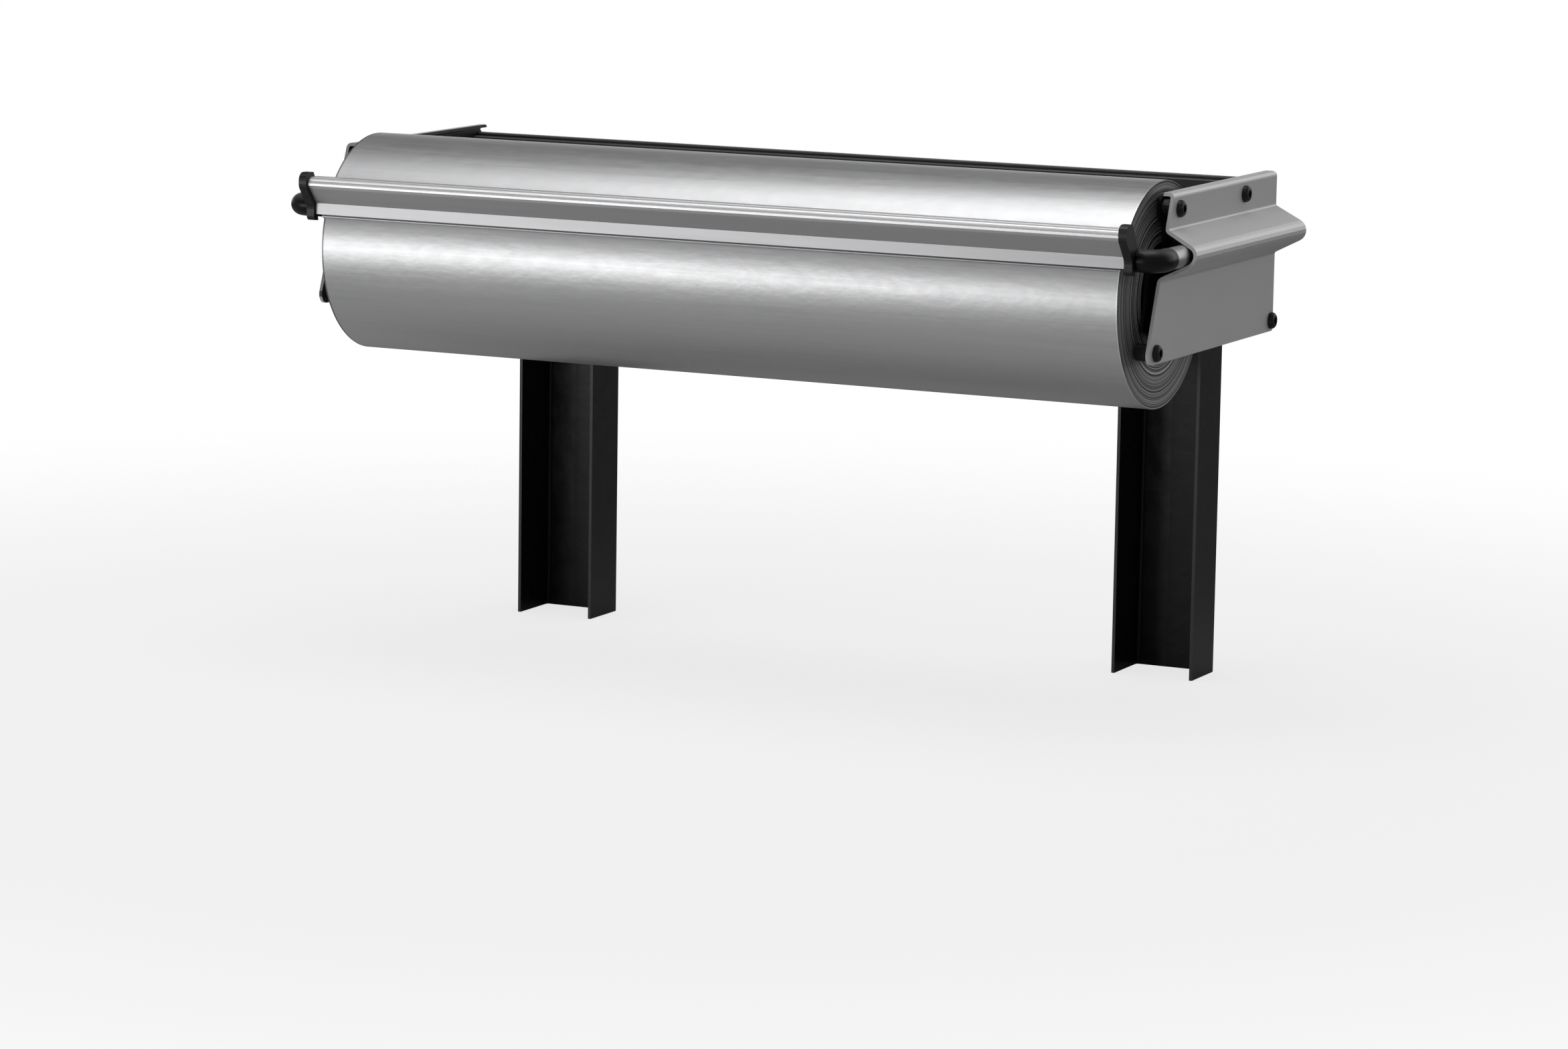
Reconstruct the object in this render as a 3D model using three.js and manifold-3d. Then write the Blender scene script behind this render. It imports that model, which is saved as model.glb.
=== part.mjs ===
import * as THREE from 'three';
import Module from 'manifold-3d';
import { mergeVertices } from 'three/addons/utils/BufferGeometryUtils.js';

// A wall-post roll dispenser for wide film: two folded side panels, a roll on an axle in open slots,
// and a spring-loaded cutter bar on two arms that slide in the side channels.
// Millimetres, +Z up, +X along the roll to the viewer's right, front toward -Y.
// Lengths below are measured from the panels' rear edge (y) and top face (z), and from mid width (x).

// Shared sizes
const overallWidth = 560;
const sheet = 2;
const fit = 0.3;
const seatGap = 0.1;
const weldDistance = 1e-4;
const overrun = 4;
const arcStep = Math.PI / 10;
const roundSides = 16;
const thinSides = 10;

// Side panels: top flange, flat web and a rounded channel pressed outward from front to back
const panelHeight = 98.65;
const panelTopDepth = 168.6;
const panelSlantShare = 0.374;
const panelFrontRadius = 6;
const panelRearRadius = 2;
const flangeWidth = 6.7;
const flangeRadius = 3;
const channelTop = 21.1;
const channelBottom = 50.2;
const channelReach = 20.1;
const channelNoseRadius = 7;
const channelFootRadius = 1.5;

// Button-head screws that tie panel, spacer and inner plate together
const screwShankRadius = 2.9;
const screwHoleRadius = 3.1;
const screwHeadRadius = 5.2;
const screwHeadHeight = 3.2;
const screwCrownRadius = 2.9;
const socketRadius = 2.3;
const socketDepth = 1.9;
const railScrewLength = 14;
const railBoltLength = 6;
const postBoltLength = 7;
const screwUpperDrop = 9.8;
const screwLowerRise = 6.65;
const screwUpperInset = 12.2;
const screwLowerInset = 11.1;
const screwUpperRearY = -54;
const screwLowerRearY = -4;

// Inner plates that carry the axle
const plateThickness = 2;
const plateGap = 7.6;
const plateTop = 2.3;
const plateRear = 14;
const plateChamfer = 3;
const plateHeelRear = 0.2;
const plateHeelHeight = 19;
const plateHeelRise = 13;
const plateBottomRise = 1.65;
const plateCornerRadius = 3;
const tongueMargin = 6;
const tongueRadius = 5;
const plateFrontReach = 4.5;
const slotLength = 35;
const slotAngle = 0.926;
const hookTopWidth = 3;
const hookShoulder = { ahead: 28.5, above: 19.6 };
const hookWaist = { ahead: 32, overScrew: 25.2 };
const hookToe = { ahead: 36.2, overScrew: 11.8 };
const hookHeel = { ahead: 22.7, overScrew: 6.5 };
const plateKeelReach = 12.5;
const hookRadius = 2;

// Roll, core, hubs and axle
const rollRadius = 68;
const rollEndGap = 1.4;
const rollEdgeRadius = 0.8;
const rollSides = 64;
const rollInset = 15.1;
const rollDrop = 62.2;
const coreRadius = 33;
const coreWall = 1.5;
const hubLength = 24;
const hubRecess = 3;
const hubFlangeRadius = 24;
const hubDish = 6;
const hubNeckRadius = 11;
const axleRadius = 5;
const axleOverhang = 4.6;
const axleChamfer = 0.8;

// Rear rail: a hollow extrusion between the inner plates
const railFront = 26.5;
const railDepth = 11.5;
const railTop = 3.4;
const railHeight = 60;
const railWall = 2.2;
const railLipWidth = 4.5;
const railLipRadius = 1;
const railGrooveWidth = 0.9;
const railGrooveDepth = 3;
const railStep = 2.1;
const railPortRadius = 2.7;
const railPortInset = 12;

// Posts: open channels that the unit hangs on
const postInset = 56.4;
const postWidth = 54.3;
const postDepth = 39;
const postTop = 12;
const postLength = 308;
const postBendRadius = 4;
const postFrontGap = 0.3;
const bracketDepth = 24;
const bracketHeight = 52;
const bracketInset = 4;
const bracketBoltY = 9;

// Cutter bar: hollow extrusion with a ribbed rounded nose, an oblique face and a straight lip.
// Its depths are measured forward from the back of the blade.
const barEndGap = 2.8;
const barLipAhead = 2.65;
const barLipTop = 33.35;
const barLipBottom = 40.2;
const barNoseAhead = 12.45;
const barNoseTop = 16.6;
const barNoseFlat = 0.8;
const barNoseRadius = 4.2;
const barRibCount = 4;
const barRibDepth = 0.35;
const barBackAhead = -0.05;
const barBackDrop = 2;
const barWall = 2.2;
const barLipWall = 1.55;
const barShelf = 28.9;
const barShelfAhead = -1.65;
const barShelfHeight = 5;

// Serrated blade clamped behind the lip
const bladeEndInset = 3.2;
const bladeThickness = 0.8;
const bladeRollGap = 0.3;
const bladeTop = 32;
const bladeTip = 42.4;
const toothPitch = 2.5;
const toothHeight = 1.1;

// End caps of the cutter bar
const capThickness = 5.2;
const capProud = 2;
const capTopProud = 2.9;
const capNoseRadius = 5;
const capTopDepth = 9.3;
const capBottom = 44.2;
const capTailThickness = 2.8;
const capHookReach = 3;
const capRearSlantDrop = 28;
const capRearSlantAhead = -2.85;
const capBossFromShare = 0.42;
const capBossTurnShare = 1.05;
const capLugLength = 10;
const capLugThickness = 1.6;

// Sliding arms
const tubeRadius = 6.5;
const tubeWall = 1.2;
const tubeFrontSetback = 15.5;
const tubeRear = 60;
const elbowRadius = 6.9;
const elbowBend = 8;
const elbowAhead = -4.85;
const elbowPlugLength = 12;
const elbowStubRadius = 3.2;
const glideHeadLength = 12;
const glidePlugLength = 9;
const glideBoreRadius = 4.4;
const guideSetback = 8;
const guideLength = 22;
const guideCornerRadius = 1;
const guideHalfHeight = 5.5;
const guidePegRadius = 2;
const guidePegInset = 5;

// Return springs inside the arms
const springWire = 1.2;
const springRadius = 3;
const springCurls = 22;
const springEndCurls = 3;
const springCurlSteps = 8;
const springWireSides = 5;
const springLeadShare = 0.22;
const springHookPathShare = 0.04;
const springLeadPathShare = 0.05;
const springHookTurnShare = 1.35;
const springPathPoints = 4000;
const springGapPoints = 1200;
const springAnchorY = 20;
const springPinSetback = 74;
const springPinRadius = 1.6;
const springHookClearance = 0.45;

// Sizes and places worked out from the ones above
const panelFace = overallWidth / 2;
const panelInner = panelFace - sheet;
const plateOuter = panelInner - plateGap;
const plateInner = plateOuter - plateThickness;
const spacerLength = plateGap - 2 * seatGap;
const bumperLength = plateGap + plateThickness + seatGap;
const channelMiddle = (channelTop + channelBottom) / 2;
const channelHalf = (channelBottom - channelTop) / 2;
const noseCentreReach = channelReach - channelNoseRadius;
const channelAngle = Math.atan2(channelHalf, noseCentreReach)
  - Math.asin(channelNoseRadius / Math.hypot(noseCentreReach, channelHalf));
const channelApex = panelFace + noseCentreReach + channelNoseRadius / Math.sin(channelAngle);
const innerApex = channelApex - sheet / Math.sin(channelAngle);
const armX = innerApex - (tubeRadius + fit) / Math.sin(channelAngle);
const armZ = -channelMiddle;
const slotRadius = axleRadius + fit;
const slotAlong = { y: -Math.cos(slotAngle), z: Math.sin(slotAngle) };
const railLength = 2 * (plateInner - seatGap);
const railRear = railFront - railDepth;
const railBottom = railTop + railHeight;
const postFront = -railRear + postFrontGap;
const postRear = postFront + postDepth;
const postBottom = postTop + postLength;
const postX = plateInner - postInset;
const rollLength = 2 * (plateInner - rollEndGap);
const rollCentre = { y: rollInset - panelTopDepth, z: -rollDrop };
const screwLowerDrop = panelHeight - screwLowerRise;
const plateBottom = panelHeight - plateBottomRise;
const plateHeelTop = plateBottom - plateHeelHeight;
const screwUpperFront = { y: panelFrontAt(-screwUpperDrop) + screwUpperInset, z: -screwUpperDrop };
const screwUpperRear = { y: screwUpperRearY, z: -screwUpperDrop };
const screwLowerFront = { y: panelFrontAt(-screwLowerDrop) + screwLowerInset, z: -screwLowerDrop };
const screwLowerRear = { y: screwLowerRearY, z: -screwLowerDrop };
const plateFront = plateFrontReach - rollCentre.y;
const plateKeel = -plateKeelReach - rollCentre.y;
const bladeBack = bladeRollGap - rollCentre.y
  + Math.sqrt(rollRadius * rollRadius - (rollDrop - bladeTip) * (rollDrop - bladeTip));
const barLipFront = bladeBack + barLipAhead;
const barNoseFront = bladeBack + barNoseAhead;
const barBackEdge = bladeBack + barBackAhead;
const barShelfBack = bladeBack + barShelfAhead;
const barLength = 2 * (plateInner + barEndGap);
const bladeLength = barLength - 2 * bladeEndInset;
const capInner = barLength / 2 + fit;
const capRearSlant = bladeBack + capRearSlantAhead;
const elbowAxisY = bladeBack + elbowAhead;
const tubeFront = elbowAxisY - tubeFrontSetback;
const guideFront = plateFront - guideSetback;
const springPinY = tubeFront - springPinSetback;

const wasm = await Module();
wasm.setup();

// Building functions

// The panels' front edge slants forward toward the bottom.
function panelFrontAt(z) {
  return -(panelTopDepth + panelSlantShare * -z);
}

function indexed(geometry) {
  const plain = geometry.clone();
  plain.deleteAttribute('normal');
  plain.deleteAttribute('uv');
  return mergeVertices(plain, weldDistance);
}

function signedVolume(geometry) {
  const p = geometry.getAttribute('position');
  const index = geometry.getIndex();
  const a = new THREE.Vector3();
  const b = new THREE.Vector3();
  const c = new THREE.Vector3();
  let volume = 0;
  for (let i = 0; i < index.count; i += 3) {
    a.fromBufferAttribute(p, index.getX(i));
    b.fromBufferAttribute(p, index.getX(i + 1));
    c.fromBufferAttribute(p, index.getX(i + 2));
    volume += a.dot(b.cross(c)) / 6;
  }
  return volume;
}

function facingOut(geometry) {
  const closed = indexed(geometry);
  if (signedVolume(closed) < 0) {
    const index = closed.getIndex();
    for (let i = 0; i < index.count; i += 3) {
      const second = index.getX(i + 1);
      index.setX(i + 1, index.getX(i + 2));
      index.setX(i + 2, second);
    }
  }
  return closed;
}

function solid(geometry) {
  const closed = facingOut(geometry);
  const vertProperties = new Float32Array(closed.getAttribute('position').array);
  const triVerts = new Uint32Array(closed.getIndex().array);
  return new wasm.Manifold(new wasm.Mesh({ numProp: 3, vertProperties, triVerts }));
}

function geometryOf(manifold) {
  const mesh = manifold.getMesh();
  const geometry = new THREE.BufferGeometry();
  geometry.setAttribute('position', new THREE.BufferAttribute(new Float32Array(mesh.vertProperties), 3));
  geometry.setIndex(new THREE.BufferAttribute(new Uint32Array(mesh.triVerts), 1));
  return geometry;
}

function cutBy(geometry, tools) {
  return geometryOf(tools.reduce((body, tool) => body.subtract(solid(tool)), solid(geometry)));
}

function joined(geometry, others) {
  return geometryOf(others.reduce((body, other) => body.add(solid(other)), solid(geometry)));
}

function common(geometry, other) {
  return geometryOf(solid(geometry).intersect(solid(other)));
}

// A closed outline from corners [u, v, radius]: each corner with a radius becomes a tangent arc.
function rounded(corners) {
  const outline = [];
  corners.forEach(([u, v, radius = 0], i) => {
    const corner = new THREE.Vector2(u, v);
    if (radius <= 0) {
      outline.push(corner);
      return;
    }
    const [u0, v0] = corners[(i + corners.length - 1) % corners.length];
    const [u1, v1] = corners[(i + 1) % corners.length];
    const back = new THREE.Vector2(u0, v0).sub(corner).normalize();
    const ahead = new THREE.Vector2(u1, v1).sub(corner).normalize();
    const half = Math.acos(THREE.MathUtils.clamp(back.dot(ahead), -1, 1)) / 2;
    const centre = back.clone().add(ahead).normalize().multiplyScalar(radius / Math.sin(half)).add(corner);
    const from = back.clone().multiplyScalar(radius / Math.tan(half)).add(corner).sub(centre).angle();
    const turn = Math.PI - 2 * half;
    const side = Math.sign(back.cross(ahead)) * -1;
    const steps = Math.max(1, Math.round(turn / arcStep));
    for (let k = 0; k <= steps; k += 1) {
      const angle = from + (side * turn * k) / steps;
      outline.push(new THREE.Vector2(Math.cos(angle), Math.sin(angle)).multiplyScalar(radius).add(centre));
    }
  });
  return outline;
}

// The closed section of a bent sheet: its outer line's corners, and the thickness laid to its left.
function folded(corners, thickness) {
  const points = corners.map(([u, v]) => new THREE.Vector2(u, v));
  const along = points.slice(1).map((point, i) => point.clone().sub(points[i]).normalize());
  const inner = corners.map(([, , radius = 0], i) => {
    const before = along[Math.max(i - 1, 0)];
    const after = along[Math.min(i, along.length - 1)];
    const normal = new THREE.Vector2(-before.y - after.y, before.x + after.x);
    const shift = normal.multiplyScalar(thickness / (1 + before.dot(after)));
    const bend = radius > 0 ? radius - Math.sign(before.cross(after)) * thickness : 0;
    return [points[i].x + shift.x, points[i].y + shift.y, bend];
  });
  return rounded([...corners, ...inner.reverse()]);
}

function circle(u, v, radius, sides) {
  return Array.from({ length: sides }, (_, k) => {
    const angle = (2 * Math.PI * k) / sides;
    return new THREE.Vector2(u + radius * Math.cos(angle), v + radius * Math.sin(angle));
  });
}

// A round hole is drawn a little large, so that its flats clear the stated radius.
const holeGrowth = 1 / Math.cos(Math.PI / thinSides);

function holeOutline(u, v, radius) {
  return circle(u, v, radius * holeGrowth, thinSides);
}

function extruded(outline, depth, holes = []) {
  const shape = new THREE.Shape(outline);
  shape.holes = holes.map((hole) => new THREE.Path(hole));
  return new THREE.ExtrudeGeometry(shape, { depth, bevelEnabled: false });
}

// Outline given as (y, z), run along x from one place to another.
function alongX(outline, from, to, holes) {
  const turn = new THREE.Matrix4().makeBasis(
    new THREE.Vector3(0, 1, 0), new THREE.Vector3(0, 0, 1), new THREE.Vector3(1, 0, 0));
  return extruded(outline, to - from, holes).applyMatrix4(turn).translate(from, 0, 0);
}

// Outline given as (x, z), run along y from one place to another.
function alongY(outline, from, to) {
  return extruded(outline, to - from).rotateX(Math.PI / 2).translate(0, to, 0);
}

// A turned body: (radius, distance) pairs round the x axis.
function turnedX(profile, sides) {
  const points = profile.map(([radius, x]) => new THREE.Vector2(radius, x));
  return facingOut(new THREE.LatheGeometry(points, sides).rotateZ(-Math.PI / 2));
}

function rodX(radius, from, to, sides = roundSides) {
  return turnedX([[0, from], [radius, from], [radius, to], [0, to]], sides);
}

function drillX(radius, from, to) {
  return rodX(radius * holeGrowth, from, to, thinSides);
}

function mirrored(geometry) {
  return facingOut(geometry.clone().scale(-1, 1, 1));
}

// Finishes
const silverPaint = new THREE.MeshStandardMaterial({ color: 0xb4b5b7, roughness: 0.45, metalness: 0.6 });
const blackSteel = new THREE.MeshStandardMaterial({ color: 0x1d1e20, roughness: 0.5, metalness: 0.4 });
const aluminium = new THREE.MeshStandardMaterial({ color: 0xc9cacc, roughness: 0.35, metalness: 0.9 });
const bladeSteel = new THREE.MeshStandardMaterial({ color: 0x9a9c9f, roughness: 0.3, metalness: 1 });
const blackPlastic = new THREE.MeshStandardMaterial({ color: 0x232426, roughness: 0.55, metalness: 0 });
const tubeSteel = new THREE.MeshStandardMaterial({ color: 0xc4c5c7, roughness: 0.3, metalness: 0.9 });
const filmSilver = new THREE.MeshStandardMaterial({ color: 0xc2c4c8, roughness: 0.25, metalness: 0.85 });
const cardboard = new THREE.MeshStandardMaterial({ color: 0x8d8378, roughness: 0.9, metalness: 0 });

const unit = new THREE.Group();
const cutter = new THREE.Group();
const roll = new THREE.Group();
unit.add(cutter, roll);

function place(group, name, geometry, material, x = 0, y = 0, z = 0) {
  const mesh = new THREE.Mesh(facingOut(geometry), material);
  mesh.name = name;
  mesh.position.set(x, y, z);
  group.add(mesh);
}

function placePair(group, name, geometry, material, x = 0, y = 0, z = 0) {
  place(group, `${name}_right`, geometry, material, x, y, z);
  place(group, `${name}_left`, mirrored(geometry), material, -x, y, z);
}

// Side panels
function sidePanel() {
  const section = folded([
    [panelFace - flangeWidth, 0],
    [panelFace, 0, flangeRadius],
    [panelFace, -channelTop, channelFootRadius],
    [channelApex, -channelMiddle, channelNoseRadius],
    [panelFace, -channelBottom, channelFootRadius],
    [panelFace, -panelHeight],
  ].reverse(), sheet);
  const blank = alongY(section, panelFrontAt(-panelHeight) - overrun, 0);
  const side = rounded([
    [0, 0, panelRearRadius],
    [panelFrontAt(0), 0],
    [panelFrontAt(-panelHeight), -panelHeight, panelFrontRadius],
    [0, -panelHeight, panelRearRadius],
  ]);
  const trimmed = common(blank, alongX(side, panelInner - flangeWidth - overrun, channelApex + overrun));
  const holes = [screwUpperFront, screwUpperRear, screwLowerFront, screwLowerRear].map(({ y, z }) =>
    drillX(screwHoleRadius, panelInner - overrun, panelFace + overrun).translate(0, y, z));
  return cutBy(trimmed, holes);
}
placePair(unit, 'outer_panel', sidePanel(), silverPaint);

// Inner plates with the open axle slot and the hook in front of it
function innerPlate() {
  const across = { y: slotAlong.z * slotRadius, z: -slotAlong.y * slotRadius };
  const rearFlank = { y: rollCentre.y + across.y, z: rollCentre.z + across.z };
  const frontFlank = { y: rollCentre.y - across.y, z: rollCentre.z - across.z };
  const rearRun = (rearFlank.y + plateFront) / -slotAlong.y;
  const seat = [];
  const seatSteps = 8;
  for (let k = 0; k <= seatSteps; k += 1) {
    const angle = Math.PI / 2 - slotAngle - (Math.PI * k) / seatSteps;
    seat.push([rollCentre.y + slotRadius * Math.cos(angle), rollCentre.z + slotRadius * Math.sin(angle)]);
  }
  const hookCorner = ({ ahead, overScrew }) =>
    [rollCentre.y - ahead, screwLowerFront.z + overScrew, hookRadius];
  const hookTip = [frontFlank.y + slotLength * slotAlong.y, frontFlank.z + slotLength * slotAlong.z];
  const outline = rounded([
    [-plateRear, -plateTop - plateChamfer],
    [-plateRear - plateChamfer, -plateTop],
    [screwUpperFront.y - tongueMargin, -plateTop, tongueRadius],
    [screwUpperFront.y - tongueMargin, screwUpperFront.z - tongueMargin, tongueRadius],
    [-plateFront, screwUpperFront.z - tongueMargin - plateCornerRadius, plateCornerRadius],
    [-plateFront, rearFlank.z + rearRun * slotAlong.z, plateCornerRadius],
    ...seat,
    [...hookTip, hookRadius / 2],
    [hookTip[0] - hookTopWidth, hookTip[1] - hookRadius / 2, hookRadius / 2],
    [rollCentre.y - hookShoulder.ahead, rollCentre.z + hookShoulder.above, hookRadius],
    hookCorner(hookWaist),
    hookCorner(hookToe),
    hookCorner(hookHeel),
    [-plateKeel, -plateBottom, hookRadius],
    [-plateHeelRear, -plateBottom, plateCornerRadius],
    [-plateHeelRear, -plateHeelTop, plateCornerRadius],
    [-plateRear, -plateHeelTop + plateHeelRise, plateCornerRadius],
  ]);
  const holes = [screwUpperFront, screwUpperRear, screwLowerRear].map(({ y, z }) =>
    holeOutline(y, z, screwHoleRadius));
  railScrews().forEach(({ y, z }) => holes.push(holeOutline(y, z, screwHoleRadius)));
  guidePegs().forEach(({ y, z }) => holes.push(holeOutline(y, z, guidePegRadius + fit)));
  holes.push(holeOutline(-springAnchorY, armZ, springPinRadius + fit));
  return alongX(outline, plateInner, plateOuter, holes);
}

function railScrews() {
  const y = -(railFront + railRear) / 2;
  return [
    { y, z: -railTop - railPortInset },
    { y, z: -railBottom + railPortInset },
  ];
}

function guidePegs() {
  return [
    { y: -guideFront + guidePegInset, z: armZ },
    { y: -guideFront + guideLength - guidePegInset, z: armZ },
  ];
}
placePair(unit, 'inner_plate', innerPlate(), blackSteel);

// Spacers between panel and plate, and the lower front pair that only stands on the panel

function spacer(length) {
  return turnedX([
    [screwHoleRadius, 0],
    [screwHeadRadius, 0],
    [screwHeadRadius, length],
    [screwHoleRadius, length],
    [screwHoleRadius, 0],
  ], roundSides);
}
const spacerX = plateOuter + seatGap;
const bumperX = panelInner - seatGap - bumperLength;
const panelScrews = { upper_front: screwUpperFront, upper_rear: screwUpperRear, lower_rear: screwLowerRear };
Object.entries(panelScrews).forEach(([corner, { y, z }]) => {
  placePair(unit, `spacer_${corner}`, spacer(spacerLength), blackPlastic, spacerX, y, z);
});
placePair(unit, 'spacer_lower_front', spacer(bumperLength), blackPlastic,
  bumperX, screwLowerFront.y, screwLowerFront.z);

// Button-head screw along x, its head's seat at zero and its shank toward -x
function buttonScrew(shankLength) {
  const crownSteps = 3;
  const profile = [[0, -shankLength], [screwShankRadius, -shankLength], [screwShankRadius, 0]];
  profile.push([screwHeadRadius, 0]);
  for (let k = 1; k <= crownSteps; k += 1) {
    const angle = (Math.PI / 2) * (k / crownSteps);
    const radius = screwCrownRadius + (screwHeadRadius - screwCrownRadius) * Math.cos(angle);
    profile.push([radius, screwHeadHeight * Math.sin(angle)]);
  }
  profile.push([0, screwHeadHeight]);
  const hexSides = 6;
  const socket = rodX(socketRadius, screwHeadHeight - socketDepth, screwHeadHeight + overrun, hexSides);
  return cutBy(turnedX(profile, roundSides), [socket]);
}
const panelScrew = buttonScrew(panelFace - plateInner - seatGap);
const screwX = panelFace + seatGap;
Object.entries({ ...panelScrews, lower_front: screwLowerFront }).forEach(([corner, { y, z }]) => {
  placePair(unit, `screw_${corner}`, panelScrew, blackSteel, screwX, y, z);
});

// Rear rail, with a screw port near each end of its hollow
function rearRail() {
  const stepFront = -railRear - railLipWidth - railGrooveWidth;
  const outline = rounded([
    [-railRear, -railBottom],
    [-railRear, -railTop, railLipRadius],
    [-railRear - railLipWidth, -railTop, railLipRadius],
    [-railRear - railLipWidth, -railTop - railGrooveDepth],
    [stepFront, -railTop - railGrooveDepth],
    [stepFront, -railTop - railStep],
    [-railFront, -railTop - railStep, railLipRadius],
    [-railFront, -railBottom],
  ]);
  const [upper, lower] = railScrews();
  const chamberTop = upper.z - railPortRadius - railWall;
  const chamberBottom = lower.z + railPortRadius + railWall;
  const chamber = rounded([
    [-railRear - railWall, chamberTop, railLipRadius],
    [-railFront + railWall, chamberTop, railLipRadius],
    [-railFront + railWall, chamberBottom, railLipRadius],
    [-railRear - railWall, chamberBottom, railLipRadius],
  ]);
  const ports = [upper, lower].map(({ y, z }) => holeOutline(y, z, screwShankRadius + seatGap));
  return alongX(outline, -railLength / 2, railLength / 2, [chamber, ...ports]);
}
place(unit, 'rear_rail', cutBy(rearRail(), bracketBoltHoles()), blackSteel);

const railScrewX = plateOuter + seatGap;
railScrews().forEach(({ y, z }, i) => {
  const height = i === 0 ? 'upper' : 'lower';
  placePair(unit, `rail_screw_${height}`, buttonScrew(railScrewLength), blackSteel, railScrewX, y, z);
});

// Brackets and posts
function bracketBoltHoles() {
  return [-1, 1].map((side) => alongRear(drillX(screwShankRadius + seatGap, -railWall - overrun, overrun),
    side * postX, -railRear));
}

function alongRear(geometry, x, y) {
  return geometry.rotateZ(Math.PI / 2).translate(x, y, bracketMiddle());
}

function bracketMiddle() {
  return -postTop - bracketInset - bracketHeight / 2;
}

function flangeHoles(halfOuter) {
  return [drillX(screwHoleRadius, -halfOuter - overrun, halfOuter + overrun)
    .translate(0, bracketBoltY, bracketMiddle())];
}

function post() {
  const half = postWidth / 2;
  const section = folded([
    [-half, postFront],
    [-half, postRear, postBendRadius],
    [half, postRear, postBendRadius],
    [half, postFront],
  ].reverse(), sheet);
  const channel = extruded(section, postLength).translate(0, 0, -postBottom);
  return cutBy(channel, flangeHoles(half));
}

function postBracket() {
  const half = postWidth / 2 - sheet - fit;
  const front = -railRear + seatGap;
  const section = folded([
    [half, front + bracketDepth],
    [half, front, postBendRadius],
    [-half, front, postBendRadius],
    [-half, front + bracketDepth],
  ].reverse(), sheet);
  const body = extruded(section, bracketHeight).translate(0, 0, bracketMiddle() - bracketHeight / 2);
  const bolt = drillX(screwHoleRadius, -overrun, sheet + overrun).rotateZ(Math.PI / 2)
    .translate(0, front, bracketMiddle());
  return cutBy(body, [bolt, ...flangeHoles(half)]);
}
placePair(unit, 'post', post(), blackSteel, postX);
placePair(unit, 'post_bracket', postBracket(), blackSteel, postX);
const railBolt = buttonScrew(railBoltLength).rotateZ(Math.PI / 2);
placePair(unit, 'rail_bolt', railBolt, blackSteel,
  postX, -railRear + 2 * seatGap + sheet, bracketMiddle());
const boltOut = postX + postWidth / 2 + seatGap;
const boltIn = postX - postWidth / 2 - seatGap;
const postBolt = buttonScrew(postBoltLength);
placePair(unit, 'post_bolt_outer', postBolt, blackSteel, boltOut, bracketBoltY, bracketMiddle());
placePair(unit, 'post_bolt_inner', mirrored(postBolt), blackSteel, boltIn, bracketBoltY, bracketMiddle());

// Cutter bar
function cutterBar() {
  const noseCentre = { y: -barNoseFront + barNoseRadius, z: -barNoseTop - barNoseRadius };
  const nose = [];
  const stepsPerRib = 4;
  const arcSteps = barRibCount * stepsPerRib;
  for (let k = 0; k <= arcSteps; k += 1) {
    const angle = Math.PI - (Math.PI / 2) * (k / arcSteps);
    const radius = k % stepsPerRib === stepsPerRib / 2 ? barNoseRadius - barRibDepth : barNoseRadius;
    nose.push([noseCentre.y + radius * Math.cos(angle), noseCentre.z + radius * Math.sin(angle)]);
  }
  const noseFoot = [-barNoseFront, noseCentre.z - barNoseFlat];
  const lipHead = [-barLipFront, -barLipTop];
  const slope = new THREE.Vector2(lipHead[0] - noseFoot[0], lipHead[1] - noseFoot[1]).normalize();
  const inward = new THREE.Vector2(-slope.y, slope.x).multiplyScalar(barWall);
  const innerFoot = [
    noseFoot[0] + inward.x + slope.x * barNoseFlat,
    noseFoot[1] + inward.y + slope.y * barNoseFlat,
  ];
  const run = (barShelf + innerFoot[1]) / -slope.y;
  const innerShelf = [innerFoot[0] + slope.x * run, -barShelf];
  const slotFront = -bladeBack - bladeThickness - seatGap;
  const outline = rounded([
    [-barLipFront, -barLipBottom],
    lipHead,
    noseFoot,
    ...nose,
    [-barBackEdge, -barNoseTop, barNoseFlat],
    [-barBackEdge, -barNoseTop - barBackDrop - barWall],
    [-barBackEdge - barLipWall, -barNoseTop - barBackDrop - barWall],
    [-barBackEdge - barLipWall, -barNoseTop - barWall],
    [noseCentre.y, -barNoseTop - barWall],
    innerFoot,
    innerShelf,
    [-barShelfBack, -barShelf, barNoseFlat],
    [-barShelfBack, -barShelf - barShelfHeight, barNoseFlat],
    [-bladeBack + seatGap, -barShelf - barShelfHeight],
    [-bladeBack + seatGap, -bladeTop + seatGap],
    [slotFront, -bladeTop + seatGap],
    [slotFront, -barLipBottom],
  ]);
  return alongX(outline, -barLength / 2, barLength / 2);
}
place(cutter, 'cutter_bar', cutterBar(), aluminium);

function serratedBlade() {
  const outline = [
    new THREE.Vector2(bladeLength / 2, -bladeTop),
    new THREE.Vector2(-bladeLength / 2, -bladeTop),
  ];
  const teeth = Math.round(bladeLength / toothPitch);
  for (let k = 0; k < teeth; k += 1) {
    const left = -bladeLength / 2 + (bladeLength * k) / teeth;
    outline.push(new THREE.Vector2(left, -bladeTip + toothHeight));
    outline.push(new THREE.Vector2(left + bladeLength / teeth / 2, -bladeTip));
  }
  outline.push(new THREE.Vector2(bladeLength / 2, -bladeTip + toothHeight));
  return alongY(outline, -bladeBack - bladeThickness, -bladeBack);
}
place(cutter, 'serrated_blade', serratedBlade(), bladeSteel);

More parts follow.
